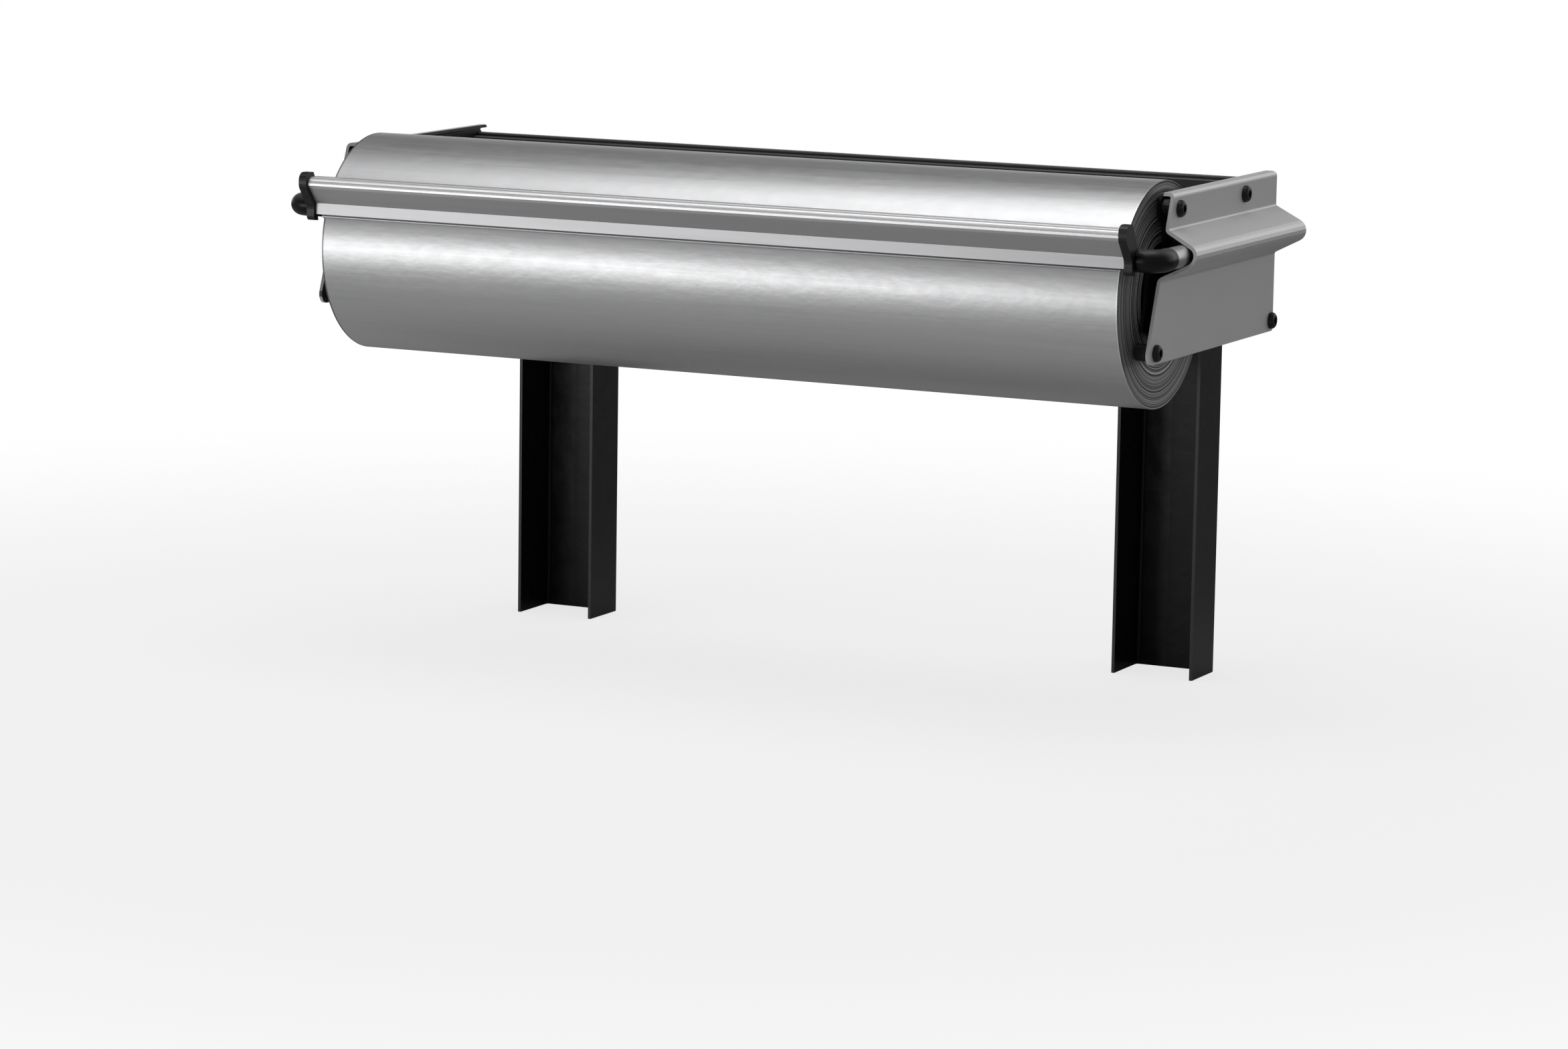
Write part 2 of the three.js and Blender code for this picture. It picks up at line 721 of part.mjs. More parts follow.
// End caps
function endCap() {
  const front = -barNoseFront - capProud;
  const top = -barNoseTop + capTopProud;
  const lipFront = -barLipFront - capProud;
  const noseFoot = -barNoseTop - barNoseRadius - barNoseFlat;
  const boss = [];
  const bossSteps = 8;
  const bossFrom = Math.PI * capBossFromShare;
  const bossTurn = Math.PI * capBossTurnShare;
  for (let k = 0; k <= bossSteps; k += 1) {
    const angle = bossFrom - (bossTurn * k) / bossSteps;
    boss.push([-elbowAxisY + elbowRadius * Math.cos(angle), armZ + elbowRadius * Math.sin(angle)]);
  }
  const outline = rounded([
    [front, top, capNoseRadius],
    [front + capTopDepth, top, capProud / 2],
    [-capRearSlant, -capRearSlantDrop, capProud],
    ...boss,
    [lipFront + capTailThickness, -barLipBottom, capProud / 2],
    [lipFront + capTailThickness + capHookReach, -capBottom, seatGap],
    [lipFront, -capBottom, capTailThickness],
    [lipFront, -barLipTop - capProud, capNoseRadius],
    [front, noseFoot - capProud / 2, capNoseRadius],
  ]);
  const body = alongX(outline, capInner, capInner + capThickness);
  const lugTop = -barNoseTop - barWall - fit;
  const lugRear = -barBackEdge - barLipWall - fit;
  const lugFront = lugRear - capLugThickness - barNoseFlat;
  const lug = [
    [lugFront, lugTop],
    [lugRear, lugTop],
    [lugRear, -barShelf + fit],
    [lugRear - capLugThickness, -barShelf + fit],
  ].map(([y, z]) => new THREE.Vector2(y, z));
  const lugBody = alongX(lug, capInner - capLugLength, capInner + capThickness / 2);
  const stubHole = drillX(elbowStubRadius + fit, capInner - overrun, capInner + capThickness + overrun)
    .translate(0, -elbowAxisY, armZ);
  return cutBy(joined(body, [lugBody]), [stubHole]);
}
placePair(cutter, 'end_cap', endCap(), blackPlastic);

// Elbows from the caps outward and back into the arm tubes
class ElbowPath extends THREE.Curve {
  constructor(startX, endY) {
    super();
    this.startX = startX;
    this.endY = endY;
    this.straightX = armX - elbowBend - startX;
    this.arc = (elbowBend * Math.PI) / 2;
    this.straightY = endY + elbowAxisY - elbowBend;
  }

  getPoint(t, target = new THREE.Vector3()) {
    const s = t * (this.straightX + this.arc + this.straightY);
    if (s < this.straightX) return target.set(this.startX + s, -elbowAxisY, armZ);
    if (s < this.straightX + this.arc) {
      const angle = (s - this.straightX) / elbowBend;
      return target.set(armX - elbowBend + elbowBend * Math.sin(angle),
        -elbowAxisY + elbowBend - elbowBend * Math.cos(angle), armZ);
    }
    return target.set(armX, -elbowAxisY + elbowBend + s - this.straightX - this.arc, armZ);
  }
}

function armElbow() {
  const start = capInner + capThickness + seatGap;
  const path = new ElbowPath(start, -tubeFront - seatGap);
  const section = new THREE.Shape(circle(0, 0, elbowRadius, roundSides));
  const steps = 10;
  const bend = new THREE.ExtrudeGeometry(section, { steps, extrudePath: path });
  const stub = rodX(elbowStubRadius, capInner, start + overrun, thinSides).translate(0, -elbowAxisY, armZ);
  const plug = rodX(tubeRadius - tubeWall - fit, -overrun, elbowPlugLength, roundSides)
    .rotateZ(Math.PI / 2).translate(armX, -tubeFront, armZ);
  return joined(bend, [stub, plug]);
}
placePair(cutter, 'arm_elbow', armElbow(), blackPlastic);

function armTube() {
  const length = tubeFront - tubeRear;
  const pipe = turnedX([
    [tubeRadius - tubeWall, 0],
    [tubeRadius, 0],
    [tubeRadius, length],
    [tubeRadius - tubeWall, length],
    [tubeRadius - tubeWall, 0],
  ], roundSides).rotateZ(Math.PI / 2).translate(armX, -tubeFront, armZ);
  return cutBy(pipe, [crossPin(springPinRadius + fit, tubeRadius + overrun)]);
}

function crossPin(radius, half) {
  return rodX(radius, -half, half, thinSides).rotateY(Math.PI / 2).translate(armX, -springPinY, armZ);
}
placePair(cutter, 'arm_tube', armTube(), tubeSteel);
placePair(cutter, 'spring_pin', crossPin(springPinRadius, tubeRadius - seatGap), bladeSteel);

// Plastic glides that close the tubes' rear ends and run in the channels
function tubeGlide() {
  const plugRadius = tubeRadius - tubeWall - seatGap;
  return turnedX([
    [glideBoreRadius, -glidePlugLength],
    [plugRadius, -glidePlugLength],
    [plugRadius, seatGap],
    [tubeRadius, seatGap],
    [tubeRadius, glideHeadLength],
    [glideBoreRadius, glideHeadLength],
    [glideBoreRadius, -glidePlugLength],
  ], roundSides).rotateZ(Math.PI / 2).translate(armX, -tubeRear, armZ);
}
placePair(cutter, 'tube_glide', tubeGlide(), blackPlastic);

// Guide blocks pegged to the inner plates
function armGuide() {
  const block = alongX(rounded([
    [-guideFront, armZ - guideHalfHeight, guideCornerRadius],
    [-guideFront + guideLength, armZ - guideHalfHeight, guideCornerRadius],
    [-guideFront + guideLength, armZ + guideHalfHeight, guideCornerRadius],
    [-guideFront, armZ + guideHalfHeight, guideCornerRadius],
  ]), plateOuter + seatGap, armX - tubeRadius / 2);
  const groove = rodX((tubeRadius + fit) * holeGrowth, -guideLength - overrun, overrun, roundSides)
    .rotateZ(Math.PI / 2).translate(armX, -guideFront + guideLength, armZ);
  const pegs = guidePegs().map(({ y, z }) =>
    rodX(guidePegRadius, plateInner + seatGap, plateOuter + overrun / 2, thinSides).translate(0, y, z));
  return joined(cutBy(block, [groove]), pegs);
}
placePair(unit, 'arm_guide', armGuide(), blackPlastic);

// Springs and their anchor pins
const anchorPinEnd = armX + springRadius + springWire + fit;
placePair(unit, 'spring_anchor', rodX(springPinRadius, plateInner + seatGap, anchorPinEnd, thinSides),
  bladeSteel, 0, -springAnchorY, armZ);

class SpringPath extends THREE.Curve {
  constructor() {
    super();
    this.arcLengthDivisions = springPathPoints;
    this.hookRadius = springPinRadius + springHookClearance + springWire / 2;
    this.length = springPinY - springAnchorY;
    this.lead = this.length * springLeadShare / 2;
  }

  // Hook round the anchor, straight lead, curls, straight lead, hook round the cross pin.
  getPoint(t, target = new THREE.Vector3()) {
    const hookShare = springHookPathShare;
    const leadShare = springLeadPathShare;
    const body = this.length - 2 * this.lead;
    if (t < hookShare) return this.hook(1 - t / hookShare, -springAnchorY, 1, true, target);
    if (t > 1 - hookShare) return this.hook((t - 1 + hookShare) / hookShare, -springPinY, -1, false, target);
    const inner = (t - hookShare) / (1 - 2 * hookShare);
    if (inner < leadShare) {
      return this.leadPoint(inner / leadShare, -springAnchorY, 1, true, target);
    }
    if (inner > 1 - leadShare) {
      return this.leadPoint((1 - inner) / leadShare, -springPinY, -1, false, target);
    }
    const share = (inner - leadShare) / (1 - 2 * leadShare);
    const angle = 2 * Math.PI * springCurls * share;
    const y = -springAnchorY - this.lead - body * share;
    return target.set(springRadius * Math.cos(angle), y, springRadius * Math.sin(angle));
  }

  // Half a circle round a pin, opening toward the curls; the anchor lies along x, the cross pin along z.
  hook(share, pinY, outward, anchor, target) {
    const angle = Math.PI * share * springHookTurnShare;
    const across = this.hookRadius * Math.cos(angle);
    const away = this.hookRadius * Math.sin(angle) * outward;
    return anchor ? target.set(0, pinY + away, across) : target.set(across, pinY + away, 0);
  }

  leadPoint(share, pinY, outward, anchor, target) {
    const y = pinY - outward * this.lead * share;
    const blend = (1 - Math.cos(Math.PI * share)) / 2;
    const side = this.hookRadius * (1 - blend);
    return anchor
      ? target.set(springRadius * blend, y, side)
      : target.set(side + springRadius * blend, y, 0);
  }
}

// Least gap between two stretches of the wire that lie half a curl or more apart along it.
function leastSpringGap() {
  const points = new SpringPath().getSpacedPoints(springGapPoints);
  const spacing = points[0].distanceTo(points[1]);
  const apart = Math.ceil((Math.PI * springRadius) / spacing);
  let least = Infinity;
  for (let i = 0; i < points.length; i += 1) {
    for (let j = i + apart; j < points.length; j += 1) {
      least = Math.min(least, points[i].distanceTo(points[j]));
    }
  }
  return least - springWire;
}
console.log(`return spring, least gap to itself: ${leastSpringGap().toFixed(2)} mm`);

function returnSpring() {
  const path = new SpringPath();
  const section = new THREE.Shape(circle(0, 0, springWire / 2, springWireSides));
  const steps = (springCurls + springEndCurls) * springCurlSteps;
  return new THREE.ExtrudeGeometry(section, { steps, extrudePath: path }).translate(armX, 0, armZ);
}
placePair(unit, 'return_spring', returnSpring(), bladeSteel);

// Roll, core, hubs and axle
function ring(innerRadius, outerRadius, half, edge) {
  return turnedX([
    [innerRadius, -half],
    [outerRadius - edge, -half],
    [outerRadius, -half + edge],
    [outerRadius, half - edge],
    [outerRadius - edge, half],
    [innerRadius, half],
    [innerRadius, -half],
  ], rollSides);
}

function rollHub() {
  const end = rollLength / 2 - hubRecess;
  return turnedX([
    [axleRadius + seatGap, end - hubLength],
    [hubNeckRadius, end - hubLength],
    [coreRadius - coreWall - fit, end - hubDish],
    [coreRadius - coreWall - fit, end],
    [hubFlangeRadius, end],
    [hubNeckRadius, end - hubDish],
    [hubNeckRadius, end],
    [axleRadius + seatGap, end],
    [axleRadius + seatGap, end - hubLength],
  ], roundSides * 2);
}
const axleHalf = plateOuter + axleOverhang;
place(roll, 'film_roll', ring(coreRadius + seatGap, rollRadius, rollLength / 2, rollEdgeRadius), filmSilver,
  0, rollCentre.y, rollCentre.z);
place(roll, 'core_tube', ring(coreRadius - coreWall, coreRadius, rollLength / 2, seatGap), cardboard,
  0, rollCentre.y, rollCentre.z);
placePair(roll, 'roll_hub', rollHub(), blackPlastic, 0, rollCentre.y, rollCentre.z);
place(roll, 'axle', turnedX([
  [0, -axleHalf],
  [axleRadius - axleChamfer, -axleHalf],
  [axleRadius, -axleHalf + axleChamfer],
  [axleRadius, axleHalf - axleChamfer],
  [axleRadius - axleChamfer, axleHalf],
  [0, axleHalf],
], roundSides), tubeSteel, 0, rollCentre.y, rollCentre.z);

// The whole unit stands on the posts' lower ends, with the rear of the posts at y = 0
unit.position.set(0, -postRear, postBottom);
const dispenser = new THREE.Group();
dispenser.add(unit);

export default dispenser;
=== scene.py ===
import math

import bmesh
import bpy
from mathutils import Matrix, Vector, noise


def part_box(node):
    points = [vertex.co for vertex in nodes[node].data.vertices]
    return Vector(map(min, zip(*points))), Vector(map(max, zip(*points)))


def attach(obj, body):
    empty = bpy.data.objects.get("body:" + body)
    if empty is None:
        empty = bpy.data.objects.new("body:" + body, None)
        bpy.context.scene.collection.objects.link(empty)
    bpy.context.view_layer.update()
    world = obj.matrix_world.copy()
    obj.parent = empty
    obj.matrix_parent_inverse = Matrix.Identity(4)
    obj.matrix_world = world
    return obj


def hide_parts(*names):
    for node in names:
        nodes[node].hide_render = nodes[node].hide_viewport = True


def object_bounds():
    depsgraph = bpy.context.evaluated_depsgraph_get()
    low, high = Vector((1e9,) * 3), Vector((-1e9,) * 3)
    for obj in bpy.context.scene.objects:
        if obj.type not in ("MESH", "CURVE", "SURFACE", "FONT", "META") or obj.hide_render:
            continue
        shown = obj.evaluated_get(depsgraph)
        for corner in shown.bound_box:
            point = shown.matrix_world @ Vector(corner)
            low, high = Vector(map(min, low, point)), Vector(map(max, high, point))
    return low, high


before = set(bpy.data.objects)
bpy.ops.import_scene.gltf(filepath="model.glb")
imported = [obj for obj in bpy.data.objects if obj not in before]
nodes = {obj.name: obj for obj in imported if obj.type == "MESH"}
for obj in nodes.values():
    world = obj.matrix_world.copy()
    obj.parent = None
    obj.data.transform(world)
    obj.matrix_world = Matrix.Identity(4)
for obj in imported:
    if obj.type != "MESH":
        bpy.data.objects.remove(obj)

cad_low, cad_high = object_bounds()
mm = 0.001


# Posts: two open channels of 2 mm steel, folded on a press brake and powder coated black with a fine
# sand texture. The paler band down each web and the lighter cut front edges are painted highlights.
# They carry the whole unit on a U bracket in each head.

class Wire:
    """A value in a material. Arithmetic on it adds Math nodes."""

    def __init__(self, finish, socket):
        self.finish = finish
        self.socket = socket

    def math(self, operation, *values):
        return self.finish.node("ShaderNodeMath", {"operation": operation}, list(values))["Value"]

    def __add__(self, other):
        return self.math("ADD", self, other)

    __radd__ = __add__

    def __sub__(self, other):
        return self.math("SUBTRACT", self, other)

    def __rsub__(self, other):
        return self.math("SUBTRACT", other, self)

    def __mul__(self, other):
        return self.math("MULTIPLY", self, other)

    __rmul__ = __mul__

    def __abs__(self):
        return self.math("ABSOLUTE", self)

    def __pow__(self, other):
        return self.math("POWER", self, other)

    def ramp(self, low, high):
        """0 below low, 1 above high, smooth between."""
        return self.finish.node("ShaderNodeMapRange", {"interpolation_type": "SMOOTHSTEP"},
                                {"Value": self, "From Min": low, "From Max": high})["Result"]


class Finish:
    """A material under construction."""

    def __init__(self, name, colour, roughness, metallic=0.0, **sockets):
        self.material = bpy.data.materials.new(name)
        self.material.use_nodes = True
        self.tree = self.material.node_tree
        self.shader = self.tree.nodes["Principled BSDF"]
        self.material.diffuse_color = (*colour, 1)
        self.set("Base Color", (*colour, 1))
        self.set("Roughness", roughness)
        self.set("Metallic", metallic)
        for socket, value in sockets.items():
            self.set(socket.replace("_", " "), value)
        self.place = self.node("ShaderNodeTexCoord", {}, {})

    def node(self, kind, settings, values):
        """Adds any node: its type, its settings, then the values or links of its sockets."""
        made = self.tree.nodes.new(kind)
        for name, value in settings.items():
            setattr(made, name, value)
        pairs = values.items() if isinstance(values, dict) else enumerate(values)
        for key, value in pairs:
            if isinstance(value, Wire):
                self.tree.links.new(value.socket, made.inputs[key])
            else:
                made.inputs[key].default_value = value
        return {socket.name: Wire(self, socket) for socket in reversed(made.outputs)}

    def set(self, socket, value):
        if isinstance(value, Wire):
            self.tree.links.new(value.socket, self.shader.inputs[socket])
        else:
            self.shader.inputs[socket].default_value = value

    def stretched(self, x, y, z):
        """Object coordinates scaled along each axis, one unit to each given length."""
        scale = (1 / x, 1 / y, 1 / z)
        return self.node("ShaderNodeVectorMath", {"operation": "MULTIPLY"},
                         [self.place["Object"], scale])["Vector"]

    def noise(self, x, y=None, z=None, detail=2.0):
        """Fractal noise of about the given feature size, in metres."""
        at = self.stretched(x, y or x, z or x)
        return self.node("ShaderNodeTexNoise", {}, {"Vector": at, "Scale": 1.0, "Detail": detail})["Fac"]

    def mix(self, share, first, second):
        """Mixes two colours. Inputs 6 and 7 and output 2 are the node's colour sockets."""
        pair = [c if isinstance(c, Wire) else (*c, 1) for c in (first, second)]
        made = self.tree.nodes.new("ShaderNodeMix")
        made.data_type = "RGBA"
        self.tree.links.new(share.socket, made.inputs["Factor"])
        for socket, value in zip((made.inputs[6], made.inputs[7]), pair):
            if isinstance(value, Wire):
                self.tree.links.new(value.socket, socket)
            else:
                socket.default_value = value
        return Wire(self, made.outputs[2])

    def axes(self, socket="Object"):
        split = self.node("ShaderNodeSeparateXYZ", {}, [self.place[socket]])
        return split["X"], split["Y"], split["Z"]

    def bump(self, height, depth, strength=1.0, under=None):
        values = {"Height": height, "Distance": depth, "Strength": strength}
        if under:
            values["Normal"] = under
        return self.node("ShaderNodeBump", {}, values)["Normal"]


def coat(names, finish):
    for name in names:
        nodes[name].data.materials.clear()
        nodes[name].data.materials.append(finish.material)


def soften(names, width, angle=35):
    """Breaks the sharp edges of sheet and moulded parts, and shades their bends smooth."""
    flat_enough = math.radians(0.4)
    for name in names:
        node = nodes[name]
        for polygon in node.data.polygons:
            polygon.use_smooth = True
        flat = node.modifiers.new("flat_faces", "DECIMATE")
        flat.decimate_type = "DISSOLVE"
        flat.angle_limit = flat_enough
        edge = node.modifiers.new("broken_edges", "BEVEL")
        edge.width = width
        edge.segments = 2
        edge.limit_method = "ANGLE"
        edge.angle_limit = math.radians(angle)
        edge.use_clamp_overlap = False
        edge.harden_normals = False
        node.modifiers.new("even_shading", "WEIGHTED_NORMAL").keep_sharp = False


def both(name):
    return [name + "_left", name + "_right"]


post_coat = Finish("black_post_coat", (0.004, 0.004, 0.0043), 0.4, Specular_IOR_Level=0.24)
sand_size = 0.35 * mm
sand_depth = 0.03 * mm
cloud_width = 14 * mm
cloud_height = 9 * mm
cloud_depth = 0.3 * mm
grain = post_coat.noise(sand_size, detail=3)
cloud = post_coat.noise(cloud_width, cloud_width, cloud_height, detail=4)
sand_normal = post_coat.bump(grain, sand_depth, 0.4)
post_coat.set("Roughness", 0.18 + 0.10 * grain + 0.10 * cloud)
post_coat.set("Normal", post_coat.bump(cloud, cloud_depth, 0.25, under=sand_normal))

# Places on the post: from_edge runs from its left side to its right one, the same on both posts.
side_switch = 1 * mm
post_low, post_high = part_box("post_left")
right_low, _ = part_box("post_right")
post_width = post_high.x - post_low.x
x, y, z = post_coat.axes()
right_share = x.ramp(-side_switch, side_switch)
from_edge = x - post_low.x - right_share * (right_low.x - post_low.x)
_, normal_y, _ = post_coat.axes("Normal")
facing_front = (normal_y * -1).ramp(0.25, 0.6)

edge_depth = 0.6 * mm
edge_fade = 0.3 * mm
web_depth = 4 * mm
web_fade = 1 * mm
# Painted highlight: the front cut edges are lighter.
cut_edge_highlight = facing_front * (1 - y.ramp(post_low.y + edge_depth - edge_fade, post_low.y + edge_depth))
# Painted reflection: the outer faces are lighter.
outer_face_reflection = from_edge.ramp(post_width - edge_depth, post_width - edge_depth + edge_fade)
web = facing_front * y.ramp(post_high.y - web_depth, post_high.y - web_depth + web_fade)

band_start = 4 * mm
band_end = 22.5 * mm
band_left_fade = 2 * mm
band_right_fade = 1.5 * mm
highlight_fade_low = 20 * mm
highlight_fade_high = 160 * mm
blotch_width = 12 * mm
blotch_height = 16 * mm
# Painted highlight: a paler, mottled band on the web, weaker towards the foot.
in_band = from_edge.ramp(band_start, band_start + band_left_fade)
past_band = from_edge.ramp(band_end - band_right_fade, band_end)
painted_web_highlight = web * in_band * (1 - past_band) * (0.3 + 0.7 * z.ramp(highlight_fade_low, highlight_fade_high))
blotch = post_coat.noise(blotch_width, blotch_width, blotch_height, detail=3).ramp(0.3, 0.7)

coat_colour = post_coat.mix(cloud, (0.003, 0.003, 0.0033), (0.007, 0.007, 0.0073))
web_highlight_colour = post_coat.mix(blotch, (0.016, 0.016, 0.0163), (0.042, 0.042, 0.0425))
coat_colour = post_coat.mix(painted_web_highlight, coat_colour, web_highlight_colour)
coat_colour = post_coat.mix(outer_face_reflection, coat_colour, (0.016, 0.016, 0.0165))
post_coat.set("Base Color", post_coat.mix(cut_edge_highlight, coat_colour, (0.06, 0.06, 0.06)))
post_corner = 0.35 * mm
coat(both("post"), post_coat)
soften(both("post"), post_corner)


# Brackets: short U pieces of the same coated sheet that close the posts' heads, bolted through the
# rear rail and through both flanges of the post.

black_coat = Finish("black_powder_coat", (0.004, 0.004, 0.0043), 0.5, Specular_IOR_Level=0.2)
patch_size = 18 * mm
coarse_sand_depth = 0.04 * mm
grain = black_coat.noise(sand_size, detail=3)
cloud = black_coat.noise(patch_size, detail=4)
black_coat.set("Base Color", black_coat.mix(cloud, (0.003, 0.003, 0.0033), (0.007, 0.007, 0.0073)))
black_coat.set("Roughness", 0.30 + 0.14 * grain + 0.08 * cloud)
black_coat.set("Normal", black_coat.bump(grain, coarse_sand_depth, 0.5))
bracket_corner = 0.3 * mm
coat(both("post_bracket"), black_coat)
soften(both("post_bracket"), bracket_corner)


# Rear rail: one hollow aluminium extrusion, anodised black, cut to length and screwed between the
# inner plates. The die leaves fine lines along it, and its top faces and crest carry a painted
# highlight.

anodised = Finish("black_anodised", (0.02, 0.02, 0.022), 0.3, 0.2)
rail_line_length = 60 * mm
rail_line_width = 0.25 * mm
rail_line_depth = 0.02 * mm
crest_depth = 1.5 * mm
crest_fade = 0.6 * mm
lines = anodised.noise(rail_line_length, rail_line_width, rail_line_width, detail=3)
_, _, up_share = anodised.axes("Normal")
_, _, z = anodised.axes()
_, rail_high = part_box("rear_rail")
# Painted highlight: the upward faces and the crest are lighter.
crest_highlight = z.ramp(rail_high.z - crest_depth, rail_high.z - crest_depth + crest_fade)
drawn_black = anodised.mix(lines, (0.010, 0.010, 0.011), (0.028, 0.028, 0.030))
painted_top_sheen = anodised.mix(lines, (0.06, 0.06, 0.062), (0.10, 0.10, 0.103))
top_colour = anodised.mix(up_share.ramp(0.2, 0.6), drawn_black, painted_top_sheen)
anodised.set("Base Color", anodised.mix(crest_highlight, top_colour, (0.085, 0.085, 0.087)))
anodised.set("Roughness", 0.22 + 0.14 * lines)
anodised.set("Normal", anodised.bump(lines, rail_line_depth, 0.4))
rail_corner = 0.25 * mm
coat(["rear_rail"], anodised)
soften(["rear_rail"], rail_corner)


# Inner plates: laser-cut 2 mm steel, black coated, with the open slots that the axle drops into.

plate_corner = 0.25 * mm
coat(both("inner_plate"), black_coat)
soften(both("inner_plate"), plate_corner)


# Spacers, guide blocks and other small mouldings: black polyamide with a fine spark-eroded grain.

black_nylon = Finish("black_nylon", (0.005, 0.005, 0.0052), 0.4, Specular_IOR_Level=0.5)
spark_size = 0.22 * mm
spark_depth = 0.03 * mm
shade_size = 6 * mm
texture = black_nylon.noise(spark_size, detail=2)
shade = black_nylon.noise(shade_size, detail=3)
black_nylon.set("Base Color", black_nylon.mix(shade, (0.002, 0.002, 0.0022), (0.005, 0.005, 0.0053)))
black_nylon.set("Roughness", 0.32 + 0.12 * texture + 0.06 * shade)
black_nylon.set("Normal", black_nylon.bump(texture, spark_depth, 0.5))
moulded_corner = 0.3 * mm
moulded_angle = 50
for kind in ("spacer_upper_front", "spacer_upper_rear", "spacer_lower_front", "spacer_lower_rear",
             "arm_guide", "tube_glide"):
    coat(both(kind), black_nylon)
    soften(both(kind), moulded_corner, moulded_angle)


# Side panels: 2 mm sheet with a folded top flange and a rounded channel pressed outward, coated in
# satin silver-grey with a little metal flake. The inner faces and the left panel's front edges are dark
# with painted shade. The upward faces of the channel are palest, a painted highlight.

panel_coat = Finish("silver_grey_coat", (0.36, 0.36, 0.365), 0.42, 0.35)
flake_size = 0.28 * mm
flake_depth = 0.01 * mm
peel_size = 2.2 * mm
peel_depth = 0.05 * mm
smear_length = 45 * mm
smear_width = 26 * mm
flake = panel_coat.noise(flake_size, detail=1)
peel = panel_coat.noise(peel_size, detail=2)
smear = panel_coat.noise(smear_length, smear_width, smear_width, detail=4)
normal_x, normal_y, normal_z = panel_coat.axes("Normal")
x, _, _ = panel_coat.axes()
left_share = (x * -1).ramp(-side_switch, side_switch)
front_edge = (normal_y * -1).ramp(0.90, 0.97)
# Painted shade: the inner faces are dark.
inner_face_shade = (normal_x * (2 * left_share - 1)).ramp(0.4, 0.8)
# Painted highlight: the upward faces of the channel are lighter.
upper_face_highlight = abs(normal_x).ramp(0.3, 0.7) * normal_z.ramp(0.2, 0.5)
body_colour = panel_coat.mix(flake.ramp(0.35, 0.7), (0.60, 0.60, 0.605), (0.77, 0.77, 0.775))
body_colour = panel_coat.mix(upper_face_highlight, body_colour, (0.88, 0.88, 0.885))
body_colour = panel_coat.mix(inner_face_shade, body_colour, (0.06, 0.06, 0.061))
# The right front edges are a plain mid grey; the left ones are dark with painted shade.
edge_tone_and_left_shade = panel_coat.mix(left_share, (0.5, 0.5, 0.5), (0.07, 0.07, 0.07))
panel_coat.set("Base Color", panel_coat.mix(front_edge, body_colour, edge_tone_and_left_shade))
panel_coat.set("Roughness", 0.38 + 0.10 * smear + 0.10 * flake)
panel_coat.set("Metallic", 0.28 + 0.25 * flake)
flake_normal = panel_coat.bump(flake, flake_depth, 0.3)
panel_coat.set("Normal", panel_coat.bump(peel, peel_depth, 0.25, under=flake_normal))
panel_corner = 0.3 * mm
coat(both("outer_panel"), panel_coat)
soften(both("outer_panel"), panel_corner)


# Button-head screws with a hex socket: steel in black oxide, heads 10.4 mm across. Each has a round
# crown, a small flat round the socket and a narrow rim under the head.

oxide = Finish("black_oxide", (0.02, 0.02, 0.02), 0.34, 0.55)
wear_size = 1.4 * mm
wear_depth = 0.02 * mm
wear = oxide.noise(wear_size, detail=3)
oxide.set("Base Color", oxide.mix(wear.ramp(0.45, 0.8), (0.012, 0.012, 0.012), (0.05, 0.05, 0.05)))
oxide.set("Roughness", 0.26 + 0.2 * wear)
oxide.set("Normal", oxide.bump(wear, wear_depth, 0.3))


def mesh_piece(name, points, faces, finish, body, smooth_angle=40):
    mesh = bpy.data.meshes.new(name)
    mesh.from_pydata([tuple(p) for p in points], [], faces)
    work = bmesh.new()
    work.from_mesh(mesh)
    bmesh.ops.recalc_face_normals(work, faces=work.faces)
    work.to_mesh(mesh)
    work.free()
    mesh.materials.append(finish.material)
    for polygon in mesh.polygons:
        polygon.use_smooth = True
    mesh.set_sharp_from_angle(angle=math.radians(smooth_angle))
    piece = bpy.data.objects.new(name, mesh)
    bpy.context.scene.collection.objects.link(piece)
    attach(piece, body)
    return piece


def turned(profile, steps, place):
    """Points and faces of a closed ring or a solid turned round x. The profile holds (radius, x)."""
    on_axis = 1e-9
    points = []
    faces = []
    rings = []
    for radius, along in profile:
        if radius < on_axis:
            rings.append([len(points)])
            points.append(place @ Vector((along, 0, 0)))
            continue
        rings.append(list(range(len(points), len(points) + steps)))
        for k in range(steps):
            angle = 2 * math.pi * k / steps
            points.append(place @ Vector((along, radius * math.cos(angle), radius * math.sin(angle))))
    closed = rings[0] != rings[-1] and len(rings[0]) > 1 and len(rings[-1]) > 1
    pairs = list(zip(rings, rings[1:])) + ([(rings[-1], rings[0])] if closed else [])
    for first, second in pairs:
        for k in range(steps):
            after = (k + 1) % steps
            if len(first) == 1:
                faces.append((first[0], second[k], second[after]))
            elif len(second) == 1:
                faces.append((first[k], second[0], first[after]))
            else:
                faces.append((first[k], second[k], second[after], first[after]))
    return points, faces


def middle(name):
    low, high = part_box(name)
    return (low + high) / 2


head_radius = 5.2 * mm
head_height = 3.2 * mm
flat_radius = 3.0 * mm
rim_inset = 0.1 * mm
rim_chamfer = 0.15 * mm
rim_height = 0.35 * mm
shank_radius = 2.9 * mm
tip_radius = 2.7 * mm
tip_length = 0.4 * mm
socket_half_flats = 2.0 * mm
socket_depth = 1.9 * mm
head_sides = 48
crown_steps = 8
hex_corners = 6


